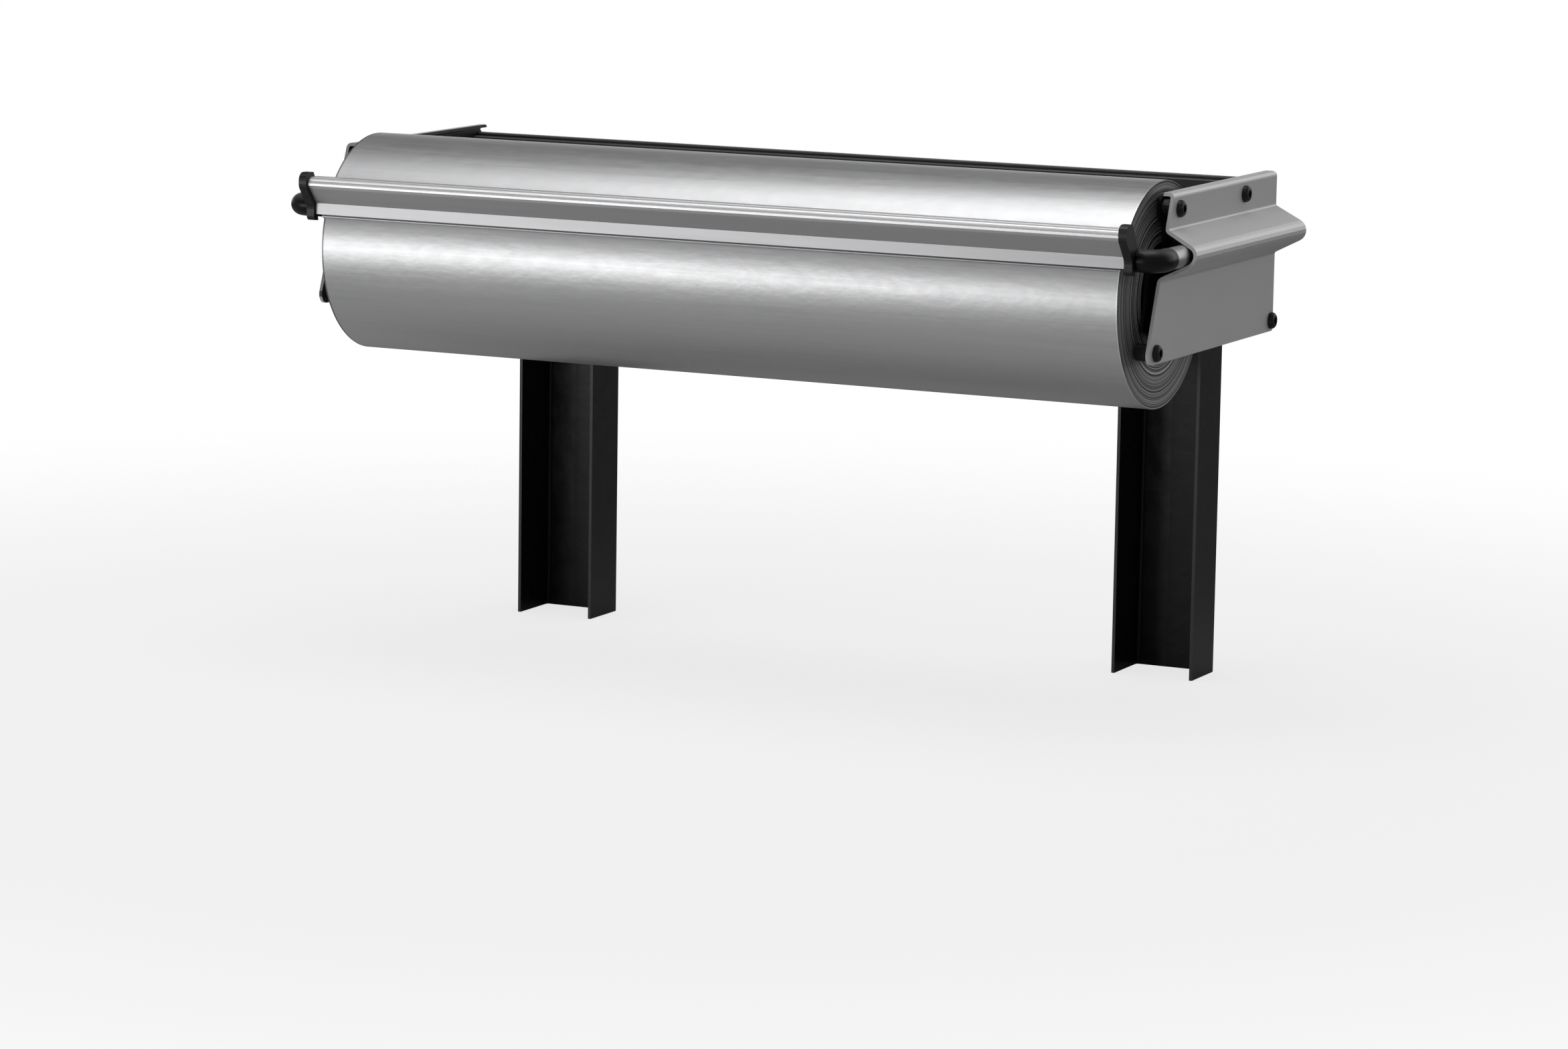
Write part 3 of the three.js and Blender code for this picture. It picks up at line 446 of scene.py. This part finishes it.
def fine_screw(node, way):
    """A fine screw in place of the plain one. Its head points along x, to the right when way is 1."""
    low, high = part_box(node)
    shank = high.x - low.x - head_height
    outline = [(0, -shank), (tip_radius, -shank), (shank_radius, -shank + tip_length), (shank_radius, 0),
               (head_radius - rim_inset, 0), (head_radius, rim_chamfer), (head_radius, rim_height)]
    for k in range(1, crown_steps + 1):
        angle = math.pi / 2 * k / crown_steps
        outline.append((flat_radius + (head_radius - flat_radius) * math.cos(angle),
                        rim_height + (head_height - rim_height) * math.sin(angle)))
    seat = (low + high) / 2
    seat.x = (low.x if way > 0 else high.x) + way * shank
    turn = Vector((1, 0, 0)).rotation_difference(Vector((way, 0, 0))).to_matrix().to_4x4()
    place = Matrix.Translation(seat) @ turn
    points, faces = turned(outline, head_sides, place)

    flat_rim = list(range(len(points) - head_sides, len(points)))
    start = len(points)
    corner_radius = socket_half_flats / math.cos(math.pi / hex_corners)
    for along in (head_height, head_height - socket_depth):
        for k in range(hex_corners):
            angle = 2 * math.pi * k / hex_corners
            across = corner_radius * math.cos(angle)
            points.append(place @ Vector((along, across, corner_radius * math.sin(angle))))
    per_side = head_sides // hex_corners
    for k in range(hex_corners):
        here = start + k
        after = start + (k + 1) % hex_corners
        for j in range(per_side):
            first = flat_rim[(k * per_side + j) % head_sides]
            second = flat_rim[(k * per_side + j + 1) % head_sides]
            nearest = here if j < per_side // 2 else after
            faces.append((nearest, first, second))
        faces.append((here, flat_rim[k * per_side + per_side // 2], after))
        faces.append((here, after, after + hex_corners, here + hex_corners))
    faces.append(tuple(start + hex_corners + k for k in range(hex_corners)))
    screw = mesh_piece(f"{node}_fine", points, faces, oxide, "frame", 35)
    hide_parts(node)


for side, out in (("left", -1), ("right", 1)):
    for kind in ("upper_front", "upper_rear", "lower_front", "lower_rear"):
        fine_screw(f"screw_{kind}_{side}", out)
    fine_screw(f"post_bolt_outer_{side}", out)
    fine_screw(f"post_bolt_inner_{side}", -out)
    coat([f"rail_screw_upper_{side}", f"rail_screw_lower_{side}", f"rail_bolt_{side}"], oxide)


# Return springs: wound tension springs of plain drawn wire inside the arms, hooked between the
# anchor pin on the inner plate and the cross pin of the tube.

wire_steel = Finish("spring_wire", (0.42, 0.42, 0.43), 0.3, 1.0)
wire_mark_size = 0.5 * mm
drawn = wire_steel.noise(wire_mark_size, detail=3)
wire_steel.set("Base Color", wire_steel.mix(drawn, (0.34, 0.34, 0.35), (0.5, 0.5, 0.51)))
wire_steel.set("Roughness", 0.24 + 0.16 * drawn)
coat(both("spring_anchor") + both("spring_pin"), wire_steel)
for name in both("return_spring"):
    coat([name], wire_steel)
    for polygon in nodes[name].data.polygons:
        polygon.use_smooth = True


# Arm tubes: bright drawn steel tube, 13 mm across, that slides in the panel's channel.

bright_tube = Finish("bright_tube", (0.74, 0.74, 0.75), 0.22, 1.0)
draw_length = 40 * mm
draw_width = 0.4 * mm
draw_depth = 0.01 * mm
haze_size = 9 * mm
draw_lines = bright_tube.noise(draw_width, draw_length, draw_width, detail=3)
haze = bright_tube.noise(haze_size, detail=3)
bright_tube.set("Base Color", bright_tube.mix(haze, (0.49, 0.49, 0.50), (0.60, 0.60, 0.61)))
bright_tube.set("Roughness", 0.3 + 0.12 * draw_lines + 0.08 * haze)
bright_tube.set("Normal", bright_tube.bump(draw_lines, draw_depth, 0.3))
tube_wall = 1.2 * mm
tube_lip = 0.3 * mm
tube_sides = 64
for side in ("left", "right"):
    low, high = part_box(f"arm_tube_{side}")
    outer = (high.z - low.z) / 2
    inner = outer - tube_wall
    half = (high.y - low.y) / 2
    outline = [(inner, -half + tube_lip), (inner + tube_lip, -half), (outer - tube_lip, -half),
               (outer, -half + tube_lip), (outer, half - tube_lip), (outer - tube_lip, half),
               (inner + tube_lip, half), (inner, half - tube_lip)]
    place = Matrix.Translation((low + high) / 2) @ Matrix.Rotation(math.pi / 2, 4, "Z")
    points, faces = turned(outline, tube_sides, place)
    tube = mesh_piece(f"arm_tube_fine_{side}", points, faces, bright_tube, "cutter")
    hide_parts(f"arm_tube_{side}")


# Elbows: one smooth black moulding a side that plugs into the cap and into the tube. The upper faces
# are painted paler as a highlight.

elbow_gloss = Finish("smooth_black_nylon", (0.002, 0.002, 0.0022), 0.34, Specular_IOR_Level=0.28)
sink_size = 5 * mm
pore_size = 0.25 * mm
pore_depth = 0.02 * mm
sink = elbow_gloss.noise(sink_size, detail=2)
pores = elbow_gloss.noise(pore_size, detail=2)
_, _, normal_z = elbow_gloss.axes("Normal")
black = elbow_gloss.mix(sink, (0.0005, 0.0005, 0.0005), (0.0015, 0.0015, 0.0015))
# Painted highlight: the upward faces are lighter.
painted_top_highlight = normal_z.ramp(0.35, 0.95)
elbow_gloss.set("Base Color", elbow_gloss.mix(painted_top_highlight, black, (0.055, 0.055, 0.056)))
elbow_gloss.set("Roughness", 0.30 + 0.04 * sink + 0.04 * pores)
elbow_gloss.set("Normal", elbow_gloss.bump(pores, pore_depth, 0.4))
elbow_bend = 8 * mm
elbow_gap = 0.1 * mm
end_rounding = 0.5 * mm
end_shares = (0.6, 0.87, 1.0)
straight_steps = 6
bend_steps = 24
elbow_sides = 48
upward = Vector((0, 0, 1))
for side, out in (("left", -1), ("right", 1)):
    low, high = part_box(f"arm_elbow_{side}")
    cap_low, cap_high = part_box(f"end_cap_{side}")
    tube_low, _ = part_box(f"arm_tube_{side}")
    tube_middle = middle(f"arm_tube_{side}")
    elbow_radius = (high.z - low.z) / 2
    cap_side = (cap_high.x if out > 0 else cap_low.x) + out * elbow_gap
    bend_start = tube_middle.x - out * elbow_bend
    front = low.y + elbow_radius
    bend_end = front + elbow_bend
    tube_end = tube_low.y - elbow_gap

    # The middle line: places with their directions, from the cap through the bend to the tube.
    path = []
    for k in range(straight_steps):
        at_x = cap_side + (bend_start - cap_side) * k / straight_steps
        path.append((Vector((at_x, front, tube_middle.z)), Vector((out, 0, 0))))
    for k in range(bend_steps + 1):
        angle = math.pi / 2 * k / bend_steps
        at = Vector((bend_start + out * elbow_bend * math.sin(angle),
                     front + elbow_bend * (1 - math.cos(angle)), tube_middle.z))
        path.append((at, Vector((out * math.cos(angle), math.sin(angle), 0))))
    for k in range(1, straight_steps + 1):
        at_y = bend_end + (tube_end - bend_end) * k / straight_steps
        path.append((Vector((tube_middle.x, at_y, tube_middle.z)), Vector((0, 1, 0))))

    points = []
    faces = []
    for i, (at, along) in enumerate(path):
        from_end = min(i, len(path) - 1 - i, len(end_shares) - 1)
        radius = elbow_radius - end_rounding * (1 - end_shares[from_end])
        across = along.cross(upward)
        for k in range(elbow_sides):
            angle = 2 * math.pi * k / elbow_sides
            points.append(at + radius * (across * math.cos(angle) + upward * math.sin(angle)))
    for i in range(len(path) - 1):
        ring = i * elbow_sides
        for k in range(elbow_sides):
            after = (k + 1) % elbow_sides
            faces.append((ring + k, ring + after, ring + elbow_sides + after, ring + elbow_sides + k))
    faces.append(tuple(range(elbow_sides)))
    faces.append(tuple(range(len(points) - elbow_sides, len(points))))
    elbow = mesh_piece(f"arm_elbow_fine_{side}", points, faces, elbow_gloss, "cutter")
    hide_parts(f"arm_elbow_{side}")


# Cutter bar: an aluminium extrusion with a ribbed rounded nose, clear anodised, with long die lines.
# The nose is painted brightest as a highlight, and the lip that holds the blade is painted darker as
# shade.

bar_metal = Finish("satin_anodised", (0.62, 0.62, 0.63), 0.34, 0.95)
die_length = 90 * mm
die_width = 0.18 * mm
die_depth = 0.015 * mm
tone_length = 160 * mm
tone_width = 5 * mm
nose_depth = 7.5 * mm
nose_fade = 1.5 * mm
lip_height = 6.6 * mm
lip_fade = 0.5 * mm
die_lines = bar_metal.noise(die_length, die_width, die_width, detail=4)
tones = bar_metal.noise(tone_length, tone_width, tone_width, detail=2)
bar_low, bar_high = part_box("cutter_bar")
_, _, z = bar_metal.axes()
# Painted light: a brighter nose and a darker lip, on one and the same anodised metal.
nose_highlight = z.ramp(bar_high.z - nose_depth, bar_high.z - nose_depth + nose_fade)
above_lip = z.ramp(bar_low.z + lip_height, bar_low.z + lip_height + lip_fade)
lip_shade_colour = bar_metal.mix(tones, (0.48, 0.48, 0.49), (0.56, 0.56, 0.57))
face_colour = bar_metal.mix(tones, (0.58, 0.58, 0.59), (0.66, 0.66, 0.67))
flat_colour = bar_metal.mix(above_lip, lip_shade_colour, face_colour)
bar_metal.set("Base Color", bar_metal.mix(nose_highlight, flat_colour, (0.84, 0.84, 0.85)))
bar_metal.set("Roughness", 0.34 + 0.14 * die_lines + 0.06 * tones)
bar_metal.set("Normal", bar_metal.bump(die_lines, die_depth, 0.35))
bar_corner = 0.12 * mm
bar_angle = 50
coat(["cutter_bar"], bar_metal)
soften(["cutter_bar"], bar_corner, bar_angle)


# Blade: a strip of spring steel with fine punched teeth, clamped in the bar's lip. The strip is dark,
# and the teeth are ground bright.

blade_steel = Finish("ground_steel", (0.5, 0.5, 0.51), 0.28, 1.0)
tooth_pitch = 1.0 * mm
tooth_height = 0.9 * mm
strip_overlap = 0.05 * mm
strip_fade = 0.15 * mm
scratch_width = 0.2 * mm
scratch_depth = 1 * mm
scratch_height = 4 * mm
low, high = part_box("serrated_blade")
tooth_top = low.z + tooth_height
ground = blade_steel.noise(scratch_width, scratch_depth, scratch_height, detail=3)
_, _, z = blade_steel.axes()
strip = z.ramp(tooth_top - strip_overlap, tooth_top - strip_overlap + strip_fade)
bright = blade_steel.mix(ground, (0.20, 0.20, 0.205), (0.32, 0.32, 0.325))
blade_steel.set("Base Color", blade_steel.mix(strip, bright, (0.035, 0.035, 0.038)))
blade_steel.set("Roughness", 0.2 + 0.2 * ground)

# Each of the two faces has its top row, the row at the teeth's roots, and the tips.
teeth = round((high.x - low.x) / tooth_pitch)
pitch = (high.x - low.x) / teeth
row = teeth + 1
face_count = 2 * row + teeth
points = []
faces = []
for face_y in (low.y, high.y):
    points += [(low.x + pitch * k, face_y, high.z) for k in range(row)]
    points += [(low.x + pitch * k, face_y, tooth_top) for k in range(row)]
    points += [(low.x + pitch * (k + 0.5), face_y, low.z) for k in range(teeth)]
for k in range(teeth):
    top, root, tip = k, row + k, 2 * row + k
    for base in (0, face_count):
        faces.append((base + top, base + top + 1, base + root + 1, base + root))
        faces.append((base + root, base + root + 1, base + tip))
    for here, after in ((top, top + 1), (root, tip), (tip, root + 1)):
        faces.append((here, after, face_count + after, face_count + here))
for top in (0, teeth):
    faces.append((top, row + top, face_count + row + top, face_count + top))
blade = mesh_piece("serrated_blade_fine", points, faces, blade_steel, "cutter", 20)
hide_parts("serrated_blade")


# End caps: S-shaped mouldings that close the bar and carry the elbows.

cap_corner = 0.5 * mm
coat(both("end_cap"), black_nylon)
soften(both("end_cap"), cap_corner, moulded_angle)


# Roll: metallised film wound on a board core, pulled tight. The winding shows as fine rings on the
# ends; the rings where film edges stand proud carry a painted highlight, stronger near the core. The
# outer layer is faintly mottled, with light creases near its edges.

film = Finish("metallised_film", (0.5, 0.505, 0.515), 0.36, 0.35)
low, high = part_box("film_roll")
roll_centre = (low + high) / 2
roll_radius = (high.z - low.z) / 2
roll_half = (high.x - low.x) / 2
x, y, z = film.axes()
normal_x, _, _ = film.axes("Normal")
end_share = abs(normal_x).ramp(0.6, 0.8)
aside = y - roll_centre.y
above = z - roll_centre.z
radius = (aside * aside + above * above) ** 0.5


def rings(pitch, detail, start=0.0):
    """Noise that varies only with the distance from the roll's axis."""
    return film.node("ShaderNodeTexNoise", {"noise_dimensions": "1D"},
                     {"W": radius * (1 / pitch) + start, "Scale": 1.0, "Detail": detail})["Fac"]


layer_pitch = 1.1 * mm
band_pitch = 7 * mm
proud_pitch = 1.7 * mm
inner_radius = 38 * mm
inner_fade = 20 * mm
layers = rings(layer_pitch, 4.0)
bands = rings(band_pitch, 2.0).ramp(0.55, 0.8)
proud_ring_highlight = rings(proud_pitch, 1.0, start=7.0).ramp(0.55, 0.61)
inner_share = 1 - radius.ramp(inner_radius, inner_radius + inner_fade)
# Painted highlight: the proud rings are pale, more so near the core, where the end lies in shade.
ring_highlight_colour = film.mix(inner_share, (0.60, 0.60, 0.61), (0.90, 0.90, 0.91))
end_colour = film.mix(layers.ramp(0.42, 0.60), (0.05, 0.05, 0.051), (0.40, 0.40, 0.41))
end_colour = film.mix(proud_ring_highlight * (0.3 + 0.7 * inner_share), end_colour, ring_highlight_colour)
end_colour = film.mix(bands * 0.3, end_colour, (0.03, 0.03, 0.03))

streak_length = 120 * mm
streak_width = 1.4 * mm
mottle_length = 10 * mm
mottle_width = 5 * mm
mottle_depth = 0.19 * mm
layer_depth = 0.3 * mm
left_rim_width = 1.4 * mm
left_rim_fade = 0.8 * mm
right_rim_width = 0.9 * mm
right_rim_fade = 0.4 * mm
rolling = film.noise(streak_length, streak_width, streak_width, detail=4)
mottle = film.noise(mottle_length, mottle_width, mottle_width, detail=3)
# Painted light: a dark rim of painted shade at the left end, a painted highlight at the right end.
left_rim_shade = (x * -1).ramp(roll_half - left_rim_width, roll_half - left_rim_width + left_rim_fade)
right_rim_highlight = x.ramp(roll_half - right_rim_width, roll_half - right_rim_width + right_rim_fade)
skin = film.mix(rolling, (0.60, 0.603, 0.61), (0.70, 0.703, 0.71))
skin = film.mix(left_rim_shade * 0.75, skin, (0.08, 0.08, 0.08))
skin = film.mix(right_rim_highlight * 0.6, skin, (0.95, 0.95, 0.95))
film.set("Base Color", film.mix(end_share, skin, end_colour))
film.set("Metallic", 0.95 - 0.5 * end_share)
film.set("Roughness", 0.30 + 0.12 * rolling + 0.08 * mottle + 0.06 * end_share)
mottle_normal = film.bump(mottle * (1 - end_share), mottle_depth, 0.6)
film.set("Normal", film.bump(layers * end_share, layer_depth, 0.8, under=mottle_normal))

film_steps = 160
film_sides = 192
ring_steps = 24
bore_radius = 33.1 * mm
skin_inset = 0.10 * mm
ripple_depth = 0.05 * mm
crease_depth = 0.07 * mm
crease_reach = 22 * mm
ripples_along = 9
ripples_round = 3
creases_along = 60
creases_round = 14
end_corner = 0.5 * mm
end_inset = 0.05 * mm
ring_depth = 0.18 * mm
rings_across = 900


def skin_radius(at_x, angle):
    """The film's radius at one place, a little inside the plain roll, with its ripples and creases."""
    across = math.cos(angle)
    up = math.sin(angle)
    end_near = 1 - min(1.0, (roll_half - abs(at_x)) / crease_reach)
    ripple = noise.noise(Vector((at_x * ripples_along, ripples_round * across, ripples_round * up)))
    crease = noise.noise(Vector((at_x * creases_along, creases_round * across, creases_round * up)))
    depth = skin_inset + ripple_depth * ripple + crease_depth * crease * end_near
    return roll_radius - abs(depth)


def add_ring(at_x, radii):
    """Adds a ring of points round the roll's axis, one for each radius."""
    first = len(points)
    for angle, radius in zip(angles, radii):
        points.append((at_x, roll_centre.y + radius * math.cos(angle),
                       roll_centre.z + radius * math.sin(angle)))
    return list(range(first, len(points)))


def join_rings(first, second):
    for k in range(film_sides):
        after = (k + 1) % film_sides
        faces.append((first[k], first[after], second[after], second[k]))


points = []
faces = []
outside = []
angles = [2 * math.pi * k / film_sides for k in range(film_sides)]
for i in range(film_steps + 1):
    at_x = -roll_half + 2 * roll_half * i / film_steps
    outside.append(add_ring(at_x, [skin_radius(at_x, angle) for angle in angles]))
for first, second in zip(outside, outside[1:]):
    join_rings(first, second)
bores = []
for out, rim in ((-1, outside[0]), (1, outside[-1])):
    for j in range(ring_steps + 1):
        share = j / ring_steps
        ring_radius = (roll_radius - end_corner) * (1 - share) + bore_radius * share
        wobble = ring_depth * (noise.noise(Vector((ring_radius * rings_across, out * 5.0, 0))) - 0.6)
        sunk = min(0.0, wobble) if j else 0.0
        ring = add_ring(out * (roll_half + sunk - end_inset), [ring_radius] * film_sides)
        join_rings(rim, ring)
        rim = ring
    bores.append(rim)
join_rings(*bores)
wound_film = mesh_piece("wound_film", points, faces, film, "roll", 45)
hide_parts("film_roll")


# Core: a spiral-wound board tube.

board = Finish("wound_board", (0.34, 0.31, 0.28), 0.85)
fibre_length = 3 * mm
fibre_width = 0.4 * mm
fibre_depth = 0.08 * mm
fibre = board.noise(fibre_length, fibre_width, fibre_width, detail=4)
board.set("Base Color", board.mix(fibre, (0.26, 0.24, 0.22), (0.42, 0.39, 0.36)))
board.set("Roughness", 0.78 + 0.15 * fibre)
board.set("Normal", board.bump(fibre, fibre_depth, 0.5))
core_outer = 33 * mm
core_inner = 31.5 * mm
core_sides = 128
low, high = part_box("core_tube")
core_half = (high.x - low.x) / 2
outline = [(core_inner, -core_half), (core_outer, -core_half),
           (core_outer, core_half), (core_inner, core_half)]
points, faces = turned(outline, core_sides, Matrix.Translation((low + high) / 2))
core = mesh_piece("core_fine", points, faces, board, "roll")
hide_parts("core_tube")


# Hubs and axle: moulded hubs in the core's ends on a bright steel axle.

hub_angle = 40
axle_angle = 35
coat(both("roll_hub"), black_nylon)
soften(both("roll_hub"), moulded_corner, hub_angle)
coat(["axle"], bright_tube)
for polygon in nodes["axle"].data.polygons:
    polygon.use_smooth = True
nodes["axle"].data.set_sharp_from_angle(angle=math.radians(axle_angle))


# Floor: a plain pale sheet just under the posts. Far from them it fades into the white room, and its
# colour for all but the camera is darker, so that it throws little light up.

floor_half = 12.0
floor_drop = 0.5 * mm
floor_mesh = bpy.data.meshes.new("floor")
corners = [(-floor_half, -floor_half, 0), (floor_half, -floor_half, 0),
           (floor_half, floor_half, 0), (-floor_half, floor_half, 0)]
floor_mesh.from_pydata(corners, [], [(0, 1, 2, 3)])
floor = bpy.data.objects.new("floor", floor_mesh)
bpy.context.scene.collection.objects.link(floor)
floor.location.z = -floor_drop
paper = Finish("floor_paper", (0.9, 0.9, 0.9), 0.95, Specular_IOR_Level=0.0)
unit_front = 0.3
shade_start = -0.15
shade_end = 0.35
fade_start = 0.45
fade_end = 1.3
seen = paper.node("ShaderNodeLightPath", {}, {})["Is Camera Ray"]
x, y, _ = paper.axes()
away = (x * x + (y + unit_front) * (y + unit_front)) ** 0.5
# Painted shade: for all but the camera the floor darkens behind the unit.
shaded = paper.mix(y.ramp(shade_start, shade_end), (0.54, 0.54, 0.54), (0.2, 0.2, 0.2))
paper.set("Base Color", paper.mix(seen, shaded, (0.9, 0.9, 0.9)))
glow = paper.node("ShaderNodeEmission", {}, {"Color": (1, 1, 1, 1), "Strength": 1.0})["Emission"]
share = (0.75 + 0.25 * away.ramp(fade_start, fade_end)) * seen
blend = paper.node("ShaderNodeMixShader", {}, {0: share})["Shader"]
mixer = blend.socket.node
paper.tree.links.new(paper.shader.outputs[0], mixer.inputs[1])
paper.tree.links.new(glow.socket, mixer.inputs[2])
paper.tree.links.new(blend.socket, paper.tree.nodes["Material Output"].inputs["Surface"])
floor_mesh.materials.append(paper.material)


# Light: a pale room and two soft lamps, a large one above and a long low strip in front at the left.
# The camera sees the room white. Mirrored rays see it white low behind the unit and higher up behind
# it at the right, and dimmer high behind it at the left.

world = bpy.data.worlds.new("room")
bpy.context.scene.world = world
world.use_nodes = True
room = world.node_tree
surface = room.nodes["Background"]
surface.inputs["Color"].default_value = (1, 1, 1, 1)
rays = room.nodes.new("ShaderNodeLightPath").outputs
direction = room.nodes.new("ShaderNodeTexCoord").outputs["Generated"]
split = room.nodes.new("ShaderNodeSeparateXYZ")
room.links.new(direction, split.inputs[0])


def room_ramp(axis, low, high):
    """0 at low, 1 at high, smooth between. The values are parts of a ray's direction."""
    ramp = room.nodes.new("ShaderNodeMapRange")
    ramp.interpolation_type = "SMOOTHSTEP"
    ramp.inputs["From Min"].default_value = low
    ramp.inputs["From Max"].default_value = high
    room.links.new(split.outputs[axis], ramp.inputs["Value"])
    return ramp.outputs["Result"]


def room_math(operation, *values):
    made = room.nodes.new("ShaderNodeMath")
    made.operation = operation
    for slot, value in zip(made.inputs, values):
        if isinstance(value, float):
            slot.default_value = value
        else:
            room.links.new(value, slot)
    return made.outputs[0]


ambient = 0.29
corner_dimming = 0.17
high_right = room_math("MULTIPLY", room_ramp("X", 0.0, 0.2), room_ramp("Z", 0.9, 0.7))
low_or_right = room_math("MAXIMUM", high_right, room_ramp("Z", 0.26, 0.14))
behind = room_math("MULTIPLY", room_ramp("Y", 0.2, 0.5), low_or_right)
mirrored = room_math("MULTIPLY", behind, rays["Is Glossy Ray"])
white = room_math("MAXIMUM", rays["Is Camera Ray"], mirrored)
upper = room_math("MULTIPLY", room_ramp("Z", 0.28, 0.45), room_ramp("Z", 0.98, 0.85))
upper_left = room_math("MULTIPLY", upper, room_ramp("X", 0.1, -0.1))
dark_corner = room_math("MULTIPLY", room_ramp("Y", 0.1, 0.4), upper_left)
dimmed = room_math("MULTIPLY", dark_corner, rays["Is Glossy Ray"])
plain = room_math("MULTIPLY_ADD", dimmed, -corner_dimming, ambient)
room.links.new(room_math("MAXIMUM", plain, white), surface.inputs["Strength"])


def lamp(name, place, target, size, power):
    light = bpy.data.lights.new(name, "AREA")
    light.shape = "RECTANGLE"
    light.size, light.size_y = size
    light.energy = power
    holder = bpy.data.objects.new(name, light)
    bpy.context.scene.collection.objects.link(holder)
    holder.location = place
    aim = Vector(target) - Vector(place)
    holder.rotation_euler = aim.to_track_quat("-Z", "Y").to_euler()


unit_middle = (cad_low + cad_high) / 2
lamp("top_lamp", place=(-0.18, -0.32, 2.1), target=unit_middle, size=(1.2, 1.95), power=14.7)
lamp("front_strip", place=(-1.17, -2.0, 0.16), target=(-0.2, -0.18, 0.22), size=(1.45, 0.30), power=7.6)


# Camera: at the photograph's viewing angle, fitted to the panels' and the roll's edges.

image_width = 2343
focal_pixels = 8038.96
sensor_width = 36
farthest = 50
camera_place = Vector((1442.33, -3117.1, 626.22)) * mm
yaw = math.radians(25.786)
pitch_down = math.radians(9.163)
roll_angle = math.radians(0.908)
camera_data = bpy.data.cameras.new("camera")
camera = bpy.data.objects.new("camera", camera_data)
bpy.context.scene.collection.objects.link(camera)
bpy.context.scene.camera = camera
camera_data.sensor_width = sensor_width
camera_data.lens = focal_pixels / image_width * sensor_width
camera_data.clip_end = farthest
ahead = Vector((-math.sin(yaw) * math.cos(pitch_down), math.cos(yaw) * math.cos(pitch_down),
                -math.sin(pitch_down)))
level_right = Vector((math.cos(yaw), math.sin(yaw), 0))
level_up = level_right.cross(ahead)
right = level_right * math.cos(roll_angle) + level_up * math.sin(roll_angle)
up = level_up * math.cos(roll_angle) - level_right * math.sin(roll_angle)
turn = Matrix((right, up, -ahead)).transposed().to_4x4()
camera.matrix_world = Matrix.Translation(camera_place) @ turn

bpy.context.scene.view_settings.view_transform = "Standard"
